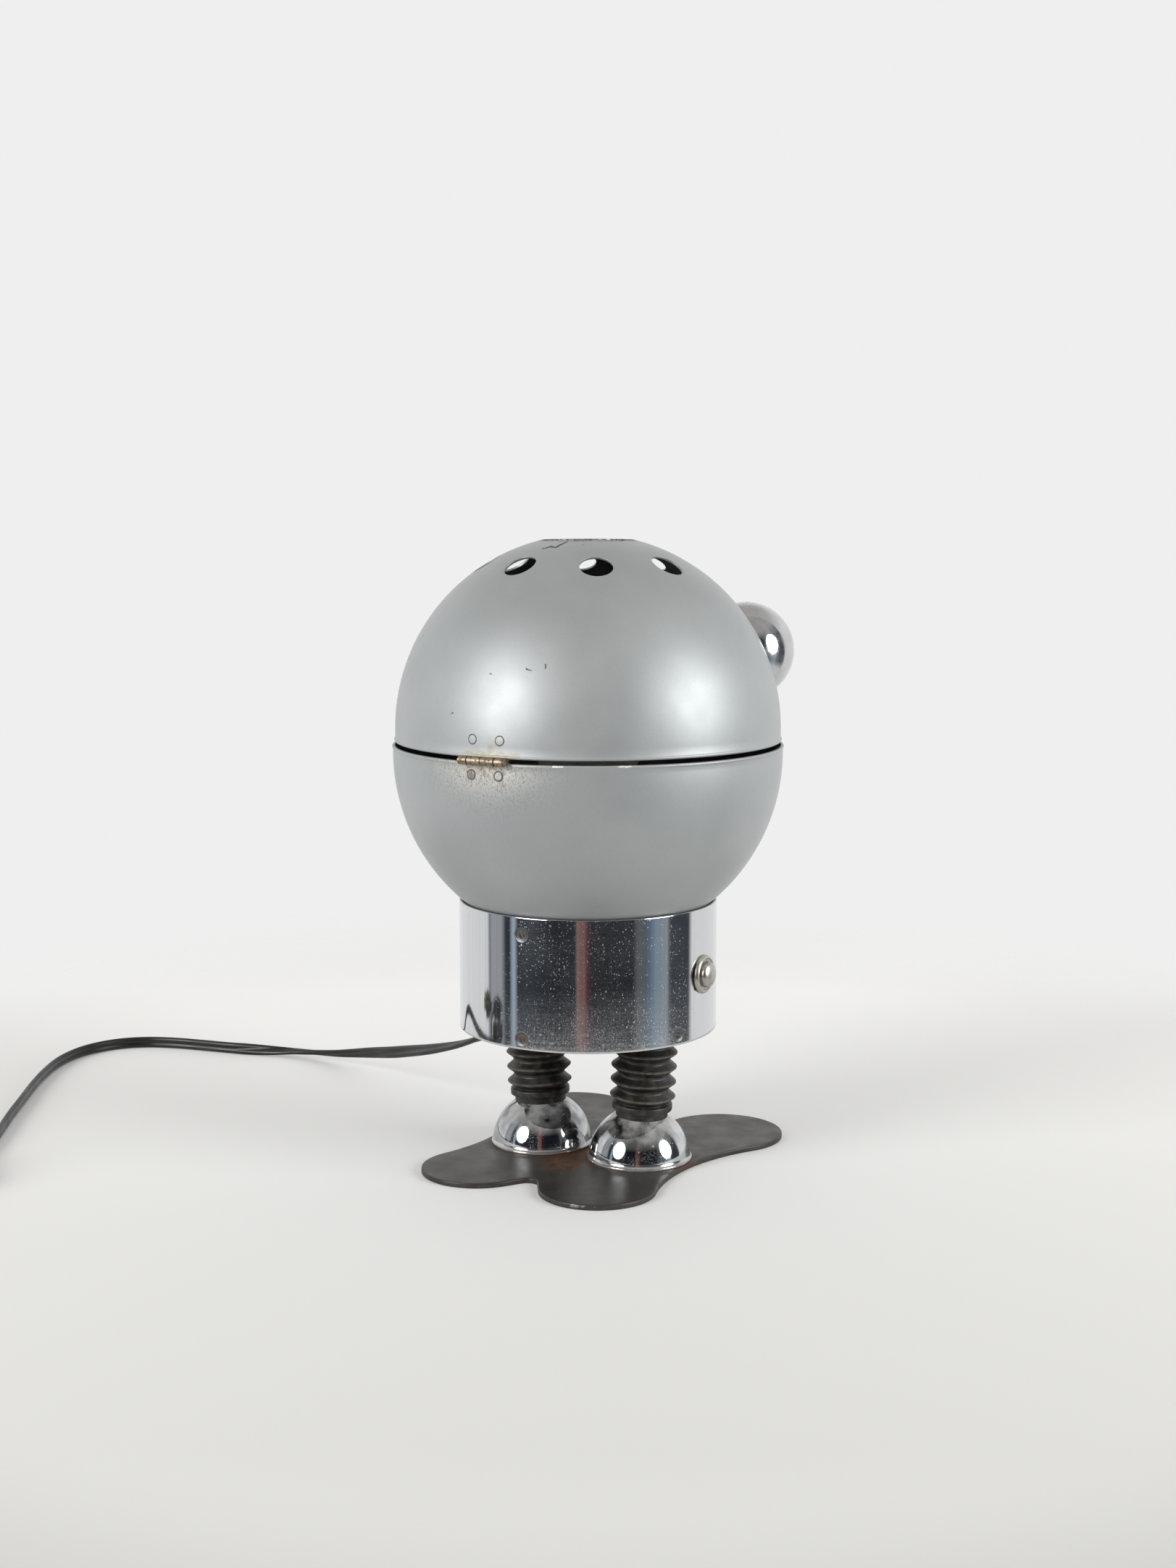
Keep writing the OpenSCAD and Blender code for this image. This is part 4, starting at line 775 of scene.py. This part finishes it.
def make_upper_shell(lacquer, inside):
    """Pressed crown: a cap round the top opening, a band of vent blocks, and below it the ball, the
    straight rim and its bead, each with its inner face."""
    columns = VENT_COUNT * BLOCK_COLUMNS
    turns = VENT_TURN - VENT_PITCH / 2 + np.arange(columns + 1) * 360 / columns
    inner_r = CROWN_R - HEAD_T
    edge_r = TOP_HOLE_R + EDGE
    opening = [degrees(acos(edge_r / r)) for r in (CROWN_R, inner_r)]
    level = [sqrt(r**2 - edge_r**2) for r in (CROWN_R, inner_r)]
    cap = np.vstack([
        circle(CROWN_R, LAT_TOP, opening[0], 8),
        rounded([(edge_r, level[0]), (TOP_HOLE_R, level[0] + 0.05), (TOP_HOLE_R, level[1] - 0.05),
                 (edge_r, level[1])], EDGE)[1:-1],
        circle(inner_r, opening[1], LAT_TOP, 8)])
    low = -UPPER_SKIRT
    skirt = np.vstack([
        circle(CROWN_R, LAT_BOTTOM, 0, 44),
        [(CROWN_R, low + 2 * UPPER_BEAD_R + 0.4)],
        bead(CROWN_R, low + UPPER_BEAD_R, UPPER_BEAD_R, 50, -90),
        rounded([(CROWN_R - 0.4, low), (inner_r, low), (inner_r, low + 1)], EDGE),
        circle(inner_r, 0, LAT_BOTTOM, 44)])
    grids = [revolve(part, turns=turns + 90) + (0, 0, CROWN_Z) for part in (cap, skirt)]
    blocks = [vent_block(VENT_TURN + k * VENT_PITCH) for k in range(VENT_COUNT)]
    shell = surface("upper_head_bowl", *grids, *blocks)
    finish_piece(shell, "head_top", lacquer, "silver_lacquer", "upper_head_shell")
    shade_inside(shell, inside, CROWN_Z, inner_r + 0.3, UPPER_RIM + PAINT_OVER)


RIVET_RISE = 0.07


def make_rivets(lacquer):
    """Semi-sunk rivet heads in a fine ring groove, with their shanks, two on each half of the head."""
    a = np.linspace(0, 1.5, 9)
    profile = np.vstack([
        grid_of(RIVET_HEAD_R * np.sin(a), RIVET_RISE * np.cos(a) ** 1.5 + 0.05),
        [(RIVET_HEAD_R, -0.2), (1.0, -0.25), (1.0, -2.4), (1.55, -2.4), (1.55, -2.85), (0, -2.85)]])
    for name, centre_z, ball, z, body in (("upper", CROWN_Z, CROWN_R, HIGH_RIVET_Z, "head_top"),
                                          ("lower", HEAD_Z, HEAD_R, LOW_RIVET_Z, "base")):
        level = z - centre_z
        y = sqrt(ball**2 - RIVET_X**2 - level**2)
        grids = [placed(revolve(profile, 40), (x, y, z), (x, y, level)) for x in (-RIVET_X, RIVET_X)]
        rivets = surface(f"rivet_pair_{name}", *grids)
        finish_piece(rivets, body, lacquer, "silver_lacquer", f"hinge_rivets_{name}")


# ---- bulb, cord bush and plug ----

GLASS_T = 0.8


def make_bulb(glass):
    """Frosted globe: the ball runs into the neck along one smooth curve, and the wall is doubled
    inside it."""
    low, high = box("bulb_glass")
    ball_r = (high[0] - low[0]) / 2
    centre = high[2] - ball_r
    neck = smooth_line([(12.5, low[2]), (12.7, low[2] + 6), (14.0, low[2] + 13), (17.6, low[2] + 21),
                        (21.9, centre - 20.5)], 6)
    outer = np.vstack([neck[:-1], circle(ball_r, -43, 90, 43, (0, centre))])
    inner = outer - unit(np.gradient(outer, axis=0))[:, ::-1] * (GLASS_T, -GLASS_T)
    inner[-1] = (0, high[2] - GLASS_T)
    inner[0] = outer[0] - (GLASS_T, 0)
    globe = surface("bulb_globe", revolve(np.vstack([outer, inner[::-1], outer[:1]])))
    finish_piece(globe, "base", glass, "frosted_glass", "bulb_glass")


GROMMET = [(0, -1.8), (5.6, -1.8), (5.6, -0.1), (4.0, -0.1), (4.0, 1.25), (5.2, 1.25), (5.2, 3.05),
           (4.0, 3.05), (4.0, 7.2), (0, 7.2)]
NOSE_R = 4.9
NOSE_LIP = 0.35
RIB_H, RIB_COUNT = 0.28, 5.5


def make_cord_bush(rubber):
    """Moulded bush: a round grommet through the base plate and a nose that tapers in ribs towards the
    cord."""
    s = np.linspace(0, 1, 61)
    ribs = RIB_H * (0.5 + 0.5 * np.cos(2 * pi * s * RIB_COUNT)) * ease(s, 0.12, 0.2)
    r = NOSE_R - (NOSE_R - CORD_W / 2 - NOSE_LIP) * s + ribs * (1 - 0.3 * s)
    end = NOSE_L + 0.15
    nose = np.vstack([[(0, 0)], grid_of(r, NOSE_L * s), [(r[-1] - NOSE_LIP, end), (0, end)]])
    nose = placed(revolve(nose, 48), BUSH, NOSE)
    nose[..., 2] = np.minimum(nose[..., 2], BASE_Z - 0.1)
    bush = surface("cord_sleeve", revolve(rounded(GROMMET, 0.35), 64) + BUSH, nose)
    finish_piece(bush, "base", rubber, "bellows_rubber", "cord_bush")


# Sections of the plug: distance from the cord's entry, half width, half thickness and power
PLUG_SECTIONS = np.array([
    (0, 0, 0, 2), (0, 2.9, 2.2, 2), (1.2, 3.2, 2.5, 2), (2, 2.9, 2.3, 2), (3.2, 3.5, 2.8, 2), (4, 3.2, 2.6, 2),
    (5.2, 3.9, 3.2, 2.1), (6, 3.7, 3.1, 2.1), (8, 4.8, 4, 2.3), (12, 6.9, 5.2, 3), (17, 8.9, 5.75, 3.6),
    (24, 10.6, 5.95, 4.2), (31.5, 11.4, 5.95, 4.5), (34.4, 11.4, 5.95, 4.5), (35, 10.9, 5.5, 4.5),
    (35, 0, 0, 4.5)])


def make_plug(plastic):
    """Moulded plug lying flat: sections from the cord's entry to its face, each a superellipse
    |y/w|^p + |z/t|^p = 1 whose half width w, half thickness t and power p follow the length."""
    body = smooth_line(PLUG_SECTIONS[1:-2], 4)
    length, w, t, power = np.vstack([PLUG_SECTIONS[:1], body, PLUG_SECTIONS[-2:]]).T[:, :, None]
    turn = np.linspace(0, 2 * pi, 65)
    grid = grid_of(w * bulged(np.cos(turn), 2 / power), t * bulged(np.sin(turn), 2 / power), length)
    plug = surface("plug_moulding", placed(grid, plug_entry(), TAIL_WAY))
    return finish_piece(plug, "base", plastic, "cord_plastic", "plug_body")


# ---- materials ----

# Marks on the head as (turn, latitude): flaked scratch on the crown, nicks, and painted glints on the seam
CROWN_SCRATCH = [(-9.4, 68.8), (-7.2, 69.2), (-4.7, 70.5), (-1.2, 69.8), (2, 70), (3.3, 72.5), (5.6, 74.6)]
CROWN_NICKS = [((10.9, 21.9), (12.5, 21.3)), ((16.8, 23.3), (16.9, 22.2)), ((-0.7, 20.1), (-0.2, 20.0)),
               ((-12.5, 8.4), (-12.2, 8.5)), ((-43.5, 29.6), (-43.0, 29.6)), ((24.5, 72.0), (25.5, 72.2))]
SCRATCH_W, NICK_W, GLINT_W = 0.6, 0.25, 0.45
FLAKE = 1 / 2.2  # mm, coarser than the real flakes, so that they show
SEAM_GLINTS = [(20.0, 22.6), (38.0, 41.0)]
CRUST = [(9, 74.4, HINGE_Z + 2.2), (-13, 73.9, HINGE_Z + 2.2)]  # line of dried dirt above the hinge


def silver_lacquer():
    """Silver lacquer over pressed steel: half metal with fine flakes. A flaked scratch and a few nicks on the
    crown, grime round the hinge and its rivets, a lighter patch with brown specks below it, and two painted
    glints on the seam."""
    made, where = material("silver_lacquer", "a4a8a8", Metallic=0.55, Roughness=0.52, Coat_Weight=0.25,
                           Coat_Roughness=0.3)
    shaky = shaken(where, 1.2, 0.35)
    flakes = add("TexVoronoi", {"Vector": where, "Scale": 1 / (FLAKE * MM)}, "Color")[0]
    colour = mixed(noise(where, 38, detail=4), "a0a4a4", "a9acac")
    colour = mixed(flakes * 0.06, colour, "d8dadb")

    below = band(where[2], HINGE_Z, HINGE_Z - 1)
    distance = ((where - Vector((0, HEAD_R, HINGE_Z)) * MM) * (0.62, 1, 1)).join("LENGTH")
    # Lighter patch just below the hinge
    colour = mixed(band(distance, 17, 3) * below * 0.75, colour, "cccac1")
    specks = noise(where, 0.55, detail=4, stretch=(1, 1, 0.6), low=0.50, high=0.64)
    specks = specks * band(distance, 26, 3).join("POWER", 1.4) * below * 0.9
    colour = mixed(specks, colour, "6c5d49")
    bare = near(shaky, (1, HEAD_R, HINGE_Z - 3.4), 2.2, 4) * noise(where, 1.2, detail=4, low=0.56, high=0.62)
    bare = bare | near(shaky, (RIVET_X, HEAD_R - 0.6, LOW_RIVET_Z), 1.0, 1.0)
    colour = mixed(bare * 0.7, colour, "66503c")
    grime = near(shaky, (-1, 77, HINGE_Z + 1.2), 3.5, 6) * noise(where, 3) * 0.6
    colour = mixed(grime, colour, "9a9174")
    crust = near_line(shaken(where, 2.5, 0.6), CRUST, 1.0)
    crust = crust * noise(where, 1.6, detail=4, low=0.3, high=0.55) * 0.75
    colour = mixed(crust, colour, "a39c80")

    cracks = []
    for z, width in ((HIGH_RIVET_Z, 0.2), (LOW_RIVET_Z, 0.26)):
        folded = abs(shaken(where, 1.6, 0.12))
        off = ((folded - Vector((RIVET_X, 0, z)) * MM) * (1, 0, 1)).join("LENGTH")
        ring = band(abs(off - RIVET_HEAD_R * MM), width * 1.6, width * 0.6)
        cracks.append(ring * band(where[1], 60, 61) * 0.85)
    for spots, width in [(CROWN_SCRATCH, SCRATCH_W)] + [(nick, NICK_W) for nick in CROWN_NICKS]:
        line = [ball_direction(*spot) * CROWN_R + (0, 0, CROWN_Z) for spot in spots]
        cracks += [near_line(shaky, ends, width) for ends in zip(line, line[1:])]
    opening = sqrt(CROWN_R**2 - TOP_HOLE_R**2) + CROWN_Z
    cracks.append(band(shaky[2], opening - 0.5, opening - 0.1))
    dirt = largest(*cracks)
    colour = mixed(dirt, colour, "2e2926")
    # Painted glints: two near-white strokes on the lower bead in the seam, standing for light caught there
    for glint in SEAM_GLINTS:
        ends = [ball_direction(turn, 0) * (HEAD_R + 0.3) + (0, 0, LOWER_RIM - 0.2) for turn in glint]
        colour = mixed(near_line(shaky, ends, GLINT_W), colour, "f4f4f0")

    dirt = largest(dirt, specks, grime, crust)
    rough = add("MapRange", (noise(where, 14, detail=5), 0, 1, 0.5, 0.55)) | dirt * 0.7
    return feed(made, Base_Color=colour, Metallic=add("MapRange", (dirt, 0, 1, 0.55, 0.1)), Roughness=rough)


def inner_painted_shade():
    """Dull dark grey on the inner faces of the head: a painted shade for the unlit inside, cloudy like one
    thin coat brushed on.
    """
    made, where = material("dull_inner_painted_shade", "5a5c5c", Metallic=0.3, Roughness=0.6)
    return feed(made, Base_Color=mixed(noise(where, 9), "525454", "636564"))


def pits(where, size, share):
    """Small round spots of this spacing in mm, 1 inside them; share is how many cells have one."""
    away = add("TexVoronoi", {"Vector": where, "Scale": 1 / (size * MM)})
    cell = away["Color"]
    spot = add("MapRange", (add("MapRange", (cell[1], 0, 1, 0.06, 0.26)) - away, -0.04, 0.04))
    return spot * add("MapRange", (share - cell[0], 0, 0.02))


PIT_SIDE = radians(36)  # turn round the tube, from the hinge, where the pits are densest
CHROME = "d6d8da"


def pitted_chrome():
    """Old bright chrome on steel: mirror finish, crowded small pits on one side of the tube, and a haze
    of rub marks and dull specks that thickens towards its lower edge."""
    made, where = material("pitted_chrome", CHROME, Metallic=1.0, Roughness=0.07)
    facing = (where * (1, 1, 0)).join("NORMALIZE").join("DOT_PRODUCT", (-sin(PIT_SIDE), cos(PIT_SIDE), 0))
    side = add("MapRange", (facing, 0.66, 0.86, 0.12))
    low = band(where[2], BODY_Z + 24, BODY_Z)
    clouds = noise(where, 16, detail=4, low=0.35, high=0.68)
    crowd = (clouds * 0.55 + 0.12 + low * 0.3) * side
    upright = where * (1, 1, 0.62)
    spots = pits(upright, 1.4, crowd * 0.12) | pits(upright, 0.8, crowd) | pits(upright, 0.5, crowd * 1.3)
    lines = noise(where, 1.6, detail=6, stretch=(0.12, 0.12, 4.0), low=0.48, high=0.72, rough=0.7)
    threads = noise(where, 1.1, detail=5, stretch=(3.0, 3.0, 0.15), low=0.50, high=0.75, rough=0.7)
    grain = noise(upright, 0.5, detail=4, low=0.45, high=0.70)
    haze = (low * 0.8 + 0.1 + clouds * 0.2) * side * (lines * 0.5 + 0.25 + threads * 0.35 + grain * 0.5)
    worn = largest(*(near(where, body_point(*screw), 2.6, 0.5) for screw in SCREWS))
    dull = spots * 0.24 | haze * 0.27
    bump = add("Bump", {"Height": spots, "Strength": 0.25, "Distance": 0.05 * MM}, invert=True)
    colour = mixed(worn * 0.85, mixed(dull, CHROME, "a5a39d"), "2f2c28")
    rough = add("MapRange", (haze, 0, 1, 0.05, 0.24)) | spots * 0.36 | worn * 0.42
    return feed(made, Base_Color=colour, Metallic=1.0 - dull, Roughness=rough, Normal=bump)


def spotted_chrome(name, tarnish_and_reflection):
    """The same chrome on the balls of the eyes and the ankle domes: cloudy, with spots. The domes are also
    darker above, partly tarnishing and partly a painted reflection of the dark room, and dull with rust at the
    foot."""
    made, where = material(name, CHROME, Metallic=1.0, Roughness=0.08)
    height = where[2] - PLATE_T * MM
    clouds = noise(where, 7, detail=5, low=0.42, high=0.72)
    grain = noise(where, 0.7, detail=4, low=0.48, high=0.72)
    spots = pits(where, 2.2, 0.3) | pits(where, 0.8, clouds * 0.5)
    film = band(height, 9, 17) * noise(where, 5, detail=4) * 0.85 * tarnish_and_reflection
    dull = spots * 0.55 | clouds * grain * 0.4 | band(height, 2.6, 0.2) * 0.35 | film
    # Dark patches, partly tarnishing and partly a painted reflection of the dark room on the camera's side
    dark_tarnish_and_reflection = noise(where, 9, detail=6, stretch=(1, 1, 0.8), low=0.36, high=0.62)
    dark_tarnish_and_reflection = dark_tarnish_and_reflection * (band(height, 4, 11) * 0.55 + 0.3) * tarnish_and_reflection
    rust = band(height, 1.3, 0.4) * noise(where, 4, detail=4) * 0.6
    colour = mixed(rust, mixed(dull, mixed(dark_tarnish_and_reflection, CHROME, "3f4043"), "a8a59e"), "8a6a44")
    rough = add("MapRange", (dull, 0, 1, 0.06, 0.45))
    return feed(made, Base_Color=colour, Metallic=1.0 - dull, Roughness=rough)


BARE_EDGE = [(-33.5, 61.3, 1.5), (-28.0, 61.9, 1.5)]


def satin_black_paint():
    """Satin paint on the foot plate: brown with rust between and round the domes, small chips, and one
    bare chip on a heel's edge."""
    made, where = material("satin_black_paint", "35322f", Metallic=0.35, Roughness=0.4)
    shaky = shaken(where, 5, 1.4)
    clouds = noise(where, 11, detail=6)
    rings = largest(*(near(shaky, ANKLE * (side, 1, 1), DOME_R + 0.4, 3.2) * 0.55 for side in (-1, 1)))
    rust = near(shaky * (1, 0.62, 1), (-1, 6.5, PLATE_T), 7, 8) | rings
    rust = rust * noise(where, 2.5, detail=6, low=0.3, high=0.6)
    colour = mixed(rust * 0.95, mixed(clouds, "33312e", "403c38"), "6b4526")
    chips = noise(where, 1.3, detail=3, low=0.70, high=0.73)
    colour = mixed(chips * 0.5 | near_line(shaken(where, 1.5, 0.4), BARE_EDGE, 0.8), colour, "8d8781")
    bump = add("Bump", {"Height": noise(where, 0.9, detail=4), "Strength": 0.12, "Distance": 0.05 * MM})
    rough = add("MapRange", (clouds * 0.5 + rust, 0, 1, 0.33, 0.62))
    return feed(made, Base_Color=colour, Roughness=rough, Normal=bump)


def dusty_rubber():
    """Black rubber of the bellows with brown dust on the ridges. The distance from a leg's leaning axis
    is taken after folding both legs onto one side."""
    made, where = material("dusty_black_rubber", "1c1c1b", Roughness=0.55)
    across = abs(where[0]) - ANKLE[0] * MM - where[2] * tan(LEG_SPLAY)
    along = where[1] - ANKLE[1] * MM
    tip = band((across * across + along * along).join("SQRT"), RIDGE_R - 0.75, RIDGE_R - 0.1)
    dust = tip * noise(where, 2.2, detail=5, low=0.25, high=0.6) * 0.75
    film = noise(where, 4, detail=6, low=0.45, high=0.75) * 0.35
    colour = mixed(dust | film, "171716", "6a6055")
    return feed(made, Base_Color=colour, Roughness=add("MapRange", (dust, 0, 1, 0.46, 0.8)))


KNUCKLE_X = 5.7  # ends of the hinge's middle knuckle


def hinge_brass():
    """Pale worn brass of the hinge, with grime in patches, between the knuckles, and in a butt seam
    across the middle one."""
    made, where = material("worn_hinge_brass", "a8987a", Metallic=0.85, Roughness=0.55)
    across = abs(where[0])
    joint = band(abs(across - KNUCKLE_X * MM), 0.4, 0.2)
    dirt = band(across, 0.26, 0.12) | joint | noise(where, 1.1, detail=4, low=0.52, high=0.66) * 0.7
    colour = mixed(dirt * 0.8, mixed(noise(where, 2.2, detail=5), "a3937f", "83755f"), "3a2f20")
    return feed(made, Base_Color=colour, Roughness=add("MapRange", (dirt, 0, 1, 0.45, 0.7)))


def rusty_steel():
    """Screw heads that have rusted: brown on the one below the hinge, grey-green on the others."""
    made, where = material("rusty_screw_steel", "453f37", Metallic=0.5, Roughness=0.55)
    colour = mixed(noise(where, 0.9, detail=5), "514a41", "2c2822")
    return feed(made, Base_Color=mixed(near(where, (0, BODY_R, BASE_SCREW_Z), 3, 2) * 0.75, colour, "5e3d2d"))


def plain(name, colour, other, size, metallic, roughness, spread=0.06):
    """Material with a cloudy change between two colours, and a roughness that follows it."""
    made, where = material(name, colour, Metallic=metallic, Roughness=roughness)
    clouds = noise(where, size, detail=5)
    return feed(made, Base_Color=mixed(clouds, colour, other),
                Roughness=add("MapRange", (clouds, 0, 1, roughness - spread, roughness + spread)))


LACQUER = silver_lacquer()
# Darker colour for the inner faces of the head: a painted shade
INNER_PAINTED_SHADE = inner_painted_shade()
TUBE_CHROME = pitted_chrome()
DOME_CHROME = spotted_chrome("tarnished_chrome_and_painted_reflection", 0.9)
EYE_CHROME = spotted_chrome("spotted_chrome", 0.25)
PLATE = satin_black_paint()
DUSTY_RUBBER = dusty_rubber()
HINGE_BRASS = hinge_brass()
RUSTY = rusty_steel()
NICKEL = plain("satin_nickel", "c9c5bd", "b3aea5", 5, 1.0, 0.36)  # brushed plating: broad, warm glints
RUBBER = plain("black_rubber", "1c1c1b", "2c2a28", 5, 0.0, 0.55)  # moulded: dull, with brown patches
PVC = plain("black_pvc", "141414", "1d1d1c", 12, 0.0, 0.4)  # extruded: deep black, half gloss
OPAL = plain("opal_glass", "e9e8e2", "f0efea", 20, 0.0, 0.45)  # blown and etched: even, soft white

# Bright new plating, zinc with a grey bloom, brass browned by age, glossy moulded bakelite, glazed
# porcelain, and half gloss plastics
SLOT_LOOKS = {
    "satin_black_steel": PLATE, "bellows_rubber": RUBBER, "silver_lacquer": LACQUER, "frosted_glass": OPAL,
    "cord_plastic": PVC,
    "chrome_plate": plain("bright_chrome", "d9dbdd", "cfd1d3", 6, 1.0, 0.08, 0.03),
    "zinc_steel": plain("zinc_plated_steel", "b4b2ab", "94918a", 3, 1.0, 0.36),
    "brass": plain("aged_brass", "a08a4e", "7d6a3c", 2.5, 1.0, 0.36),
    "phenolic": plain("black_bakelite", "161312", "201b19", 7, 0.0, 0.3),
    "porcelain": plain("glazed_porcelain", "e8e6df", "dedbd2", 11, 0.0, 0.2),
    "lead_brown": plain("brown_wire_pvc", "4c2c1b", "5a3623", 3, 0.0, 0.4),
    "lead_blue": plain("blue_wire_pvc", "27578c", "326499", 3, 0.0, 0.4),
    "tie_plastic": plain("white_nylon", "dcdcd6", "cfcfc8", 3, 0.0, 0.45)}

NODE_LOOKS = {
    "hinge_leaf_lower": HINGE_BRASS, "hinge_leaf_upper": HINGE_BRASS, "hinge_pin": HINGE_BRASS,
    "eye_left": EYE_CHROME, "eye_right": EYE_CHROME, "base_plate": PLATE}


def dress_nodes():
    """Gives each imported node the look of its slot, or its own."""
    for part in frame["record"]["subparts"]:
        for place in frame["nodes"][part["node"]].material_slots:
            place.material = NODE_LOOKS.get(part["node"], SLOT_LOOKS[part["material_slot"]])


# ---- light and floor ----

TO_CAMERA = degrees(pi / 2 + CAMERA_TURN)  # heading from the lamp to the camera
BACKDROP = rgb("efefef")

# The room by its heading: degrees from the camera, positive to the right of the view, and a colour
ROOM = [
    (-180, "f2f2f2"), (-104, "ececec"), (-100, "e4e6e8"), (-97, "7b7f84"), (-95, "a7a9ac"), (-82, "a2a5a8"),
    (-78, "3c3f45"), (-73, "282c33"), (-71, "a8b6c3"), (-67, "a3b0bd"), (-65, "30353d"), (-54, "363b42"),
    (-40, "252930"), (-28, "1b1f26"), (-11, "24272d"), (-9, "8c7873"), (-7, "7c5550"), (-3, "805c57"),
    (-1, "4c2c33"), (3, "33242a"), (5, "232529"), (20, "1f2126"), (40, "24272d"), (44, "5d6065"),
    (52, "5d636a"), (56, "61748a"), (62, "8495a3"), (74, "969ea3"), (77, "3c4148"), (100, "3d4046"),
    (105, "eeeeee"), (180, "f2f2f2")]


def make_world():
    """Pale backdrop for the camera. Everything else sees a studio that is white behind the lamp and
    dark on the camera's side, with upright streaks of light and colour in it."""
    world = bpy.data.worlds.new("studio")
    world.use_nodes = True
    tree = world.node_tree
    tree.nodes.clear()
    direction = add("TexCoord", {}, "Generated", tree)
    turned = add("Mapping", {"Vector": direction, "Rotation": (0, 0, -radians(TO_CAMERA))})
    share = add("MapRange", (turned[1].join("ARCTAN2", turned[0]), -pi, pi))
    threads = add("TexNoise", {"W": share, "Scale": 260, "Detail": 2}, noise_dimensions="1D")
    colour = add("ValToRGB", [share], stops=[((turn + 180) / 360, rgb(hue)) for turn, hue in ROOM])
    colour = colour * add("MapRange", (threads, 0, 1, 0.72, 1.28))
    colour = mixed(add("MapRange", (turned[2], 0.42, 0.75, 0, 0.85)), colour, "bbb8b4")
    colour = mixed(add("MapRange", (turned[2], -0.30, -0.50)), colour, "dddcda")
    colour = mixed(add("LightPath", {}, "Is Camera Ray", tree), colour, BACKDROP)
    add("OutputWorld", {"Surface": add("Background", {"Color": colour, "Strength": 1.0})})
    bpy.context.scene.world = world


SOFT_BOX_OUT = 1500
SOFT_BOX_W, SOFT_BOX_H = 760, 960
SOFT_BOX_POWER = 19.5  # watts
AIM = Vector((0, 0, 130))  # middle of the lamp


def soft_box(name, azimuth, elevation):
    """Oval area lamp that faces the lamp's middle; azimuth is counted from the camera towards the right
    of the view, both angles in degrees."""
    turn, up = radians(TO_CAMERA + azimuth), radians(elevation)
    out = Vector((cos(turn) * cos(up), sin(turn) * cos(up), sin(up)))
    data = bpy.data.lights.new(name, "AREA")
    data.shape = "ELLIPSE"
    data.size = SOFT_BOX_W * MM
    data.size_y = SOFT_BOX_H * MM
    data.energy = SOFT_BOX_POWER
    made = put(name, data, AIM + out * SOFT_BOX_OUT)
    made.rotation_mode = "QUATERNION"
    made.rotation_quaternion = out.to_track_quat("Z", "Y")


FLOOR_R = 1200
FADE_SEEN = (300, 550)  # mm from the middle, where the floor runs into the backdrop
FADE_MIRRORED = (190, 250)


def make_floor():
    """Pale round board just below the feet. Its glow grows from the camera's side to the back, and it
    fades into the backdrop, nearer in mirrored views than in the direct one."""
    profile = [(0, 0), (150, 0), (300, 0), (600, 0), (FLOOR_R, 0), (FLOOR_R, -20), (0, -20)]
    floor = surface("floor", revolve(profile) - (0, 0, 0.05))
    made, where = material("painted_board", "d2d2d0", Roughness=0.75, Emission_Color=rgb("f3f3f2"))
    floor.data.materials.append(made)
    path = add("LightPath", {}, tree=made.node_tree)
    depth = where.join("DOT_PRODUCT", (sin(CAMERA_TURN), -cos(CAMERA_TURN), 0))
    glow = path["Is Camera Ray"] * add("MapRange", (depth, -0.27, 0.29, 0, 0.315))
    away = where.join("LENGTH")
    seen, mirrored = (add("MapRange", (away, start * MM, end * MM), interpolation_type="SMOOTHSTEP")
                      for start, end in (FADE_SEEN, FADE_MIRRORED))
    fade = add("Mix", {0: path["Is Glossy Ray"], 2: seen, 3: mirrored})
    feed(made, Emission_Strength=glow, Alpha=1.0 - fade)


# ---- the scene ----

make_camera()
make_cord(PVC, make_plug(PVC))
make_world()
soft_box("left_soft_box", -52, 18.5)
soft_box("right_soft_box", 66, 16.5)
make_floor()

dress_nodes()
make_foot_plate(PLATE)
for side, name in ((-1, "right"), (1, "left")):
    make_ankle_dome(side, name, DOME_CHROME)
    make_bellows(side, name, DUSTY_RUBBER)
make_body(TUBE_CHROME)
make_body_screws(RUSTY)
make_switch(NICKEL)
make_lower_shell(LACQUER, INNER_PAINTED_SHADE)
make_upper_shell(LACQUER, INNER_PAINTED_SHADE)
make_rivets(LACQUER)
make_bulb(OPAL)
make_cord_bush(RUBBER)

bpy.context.scene.view_settings.view_transform = "Standard"
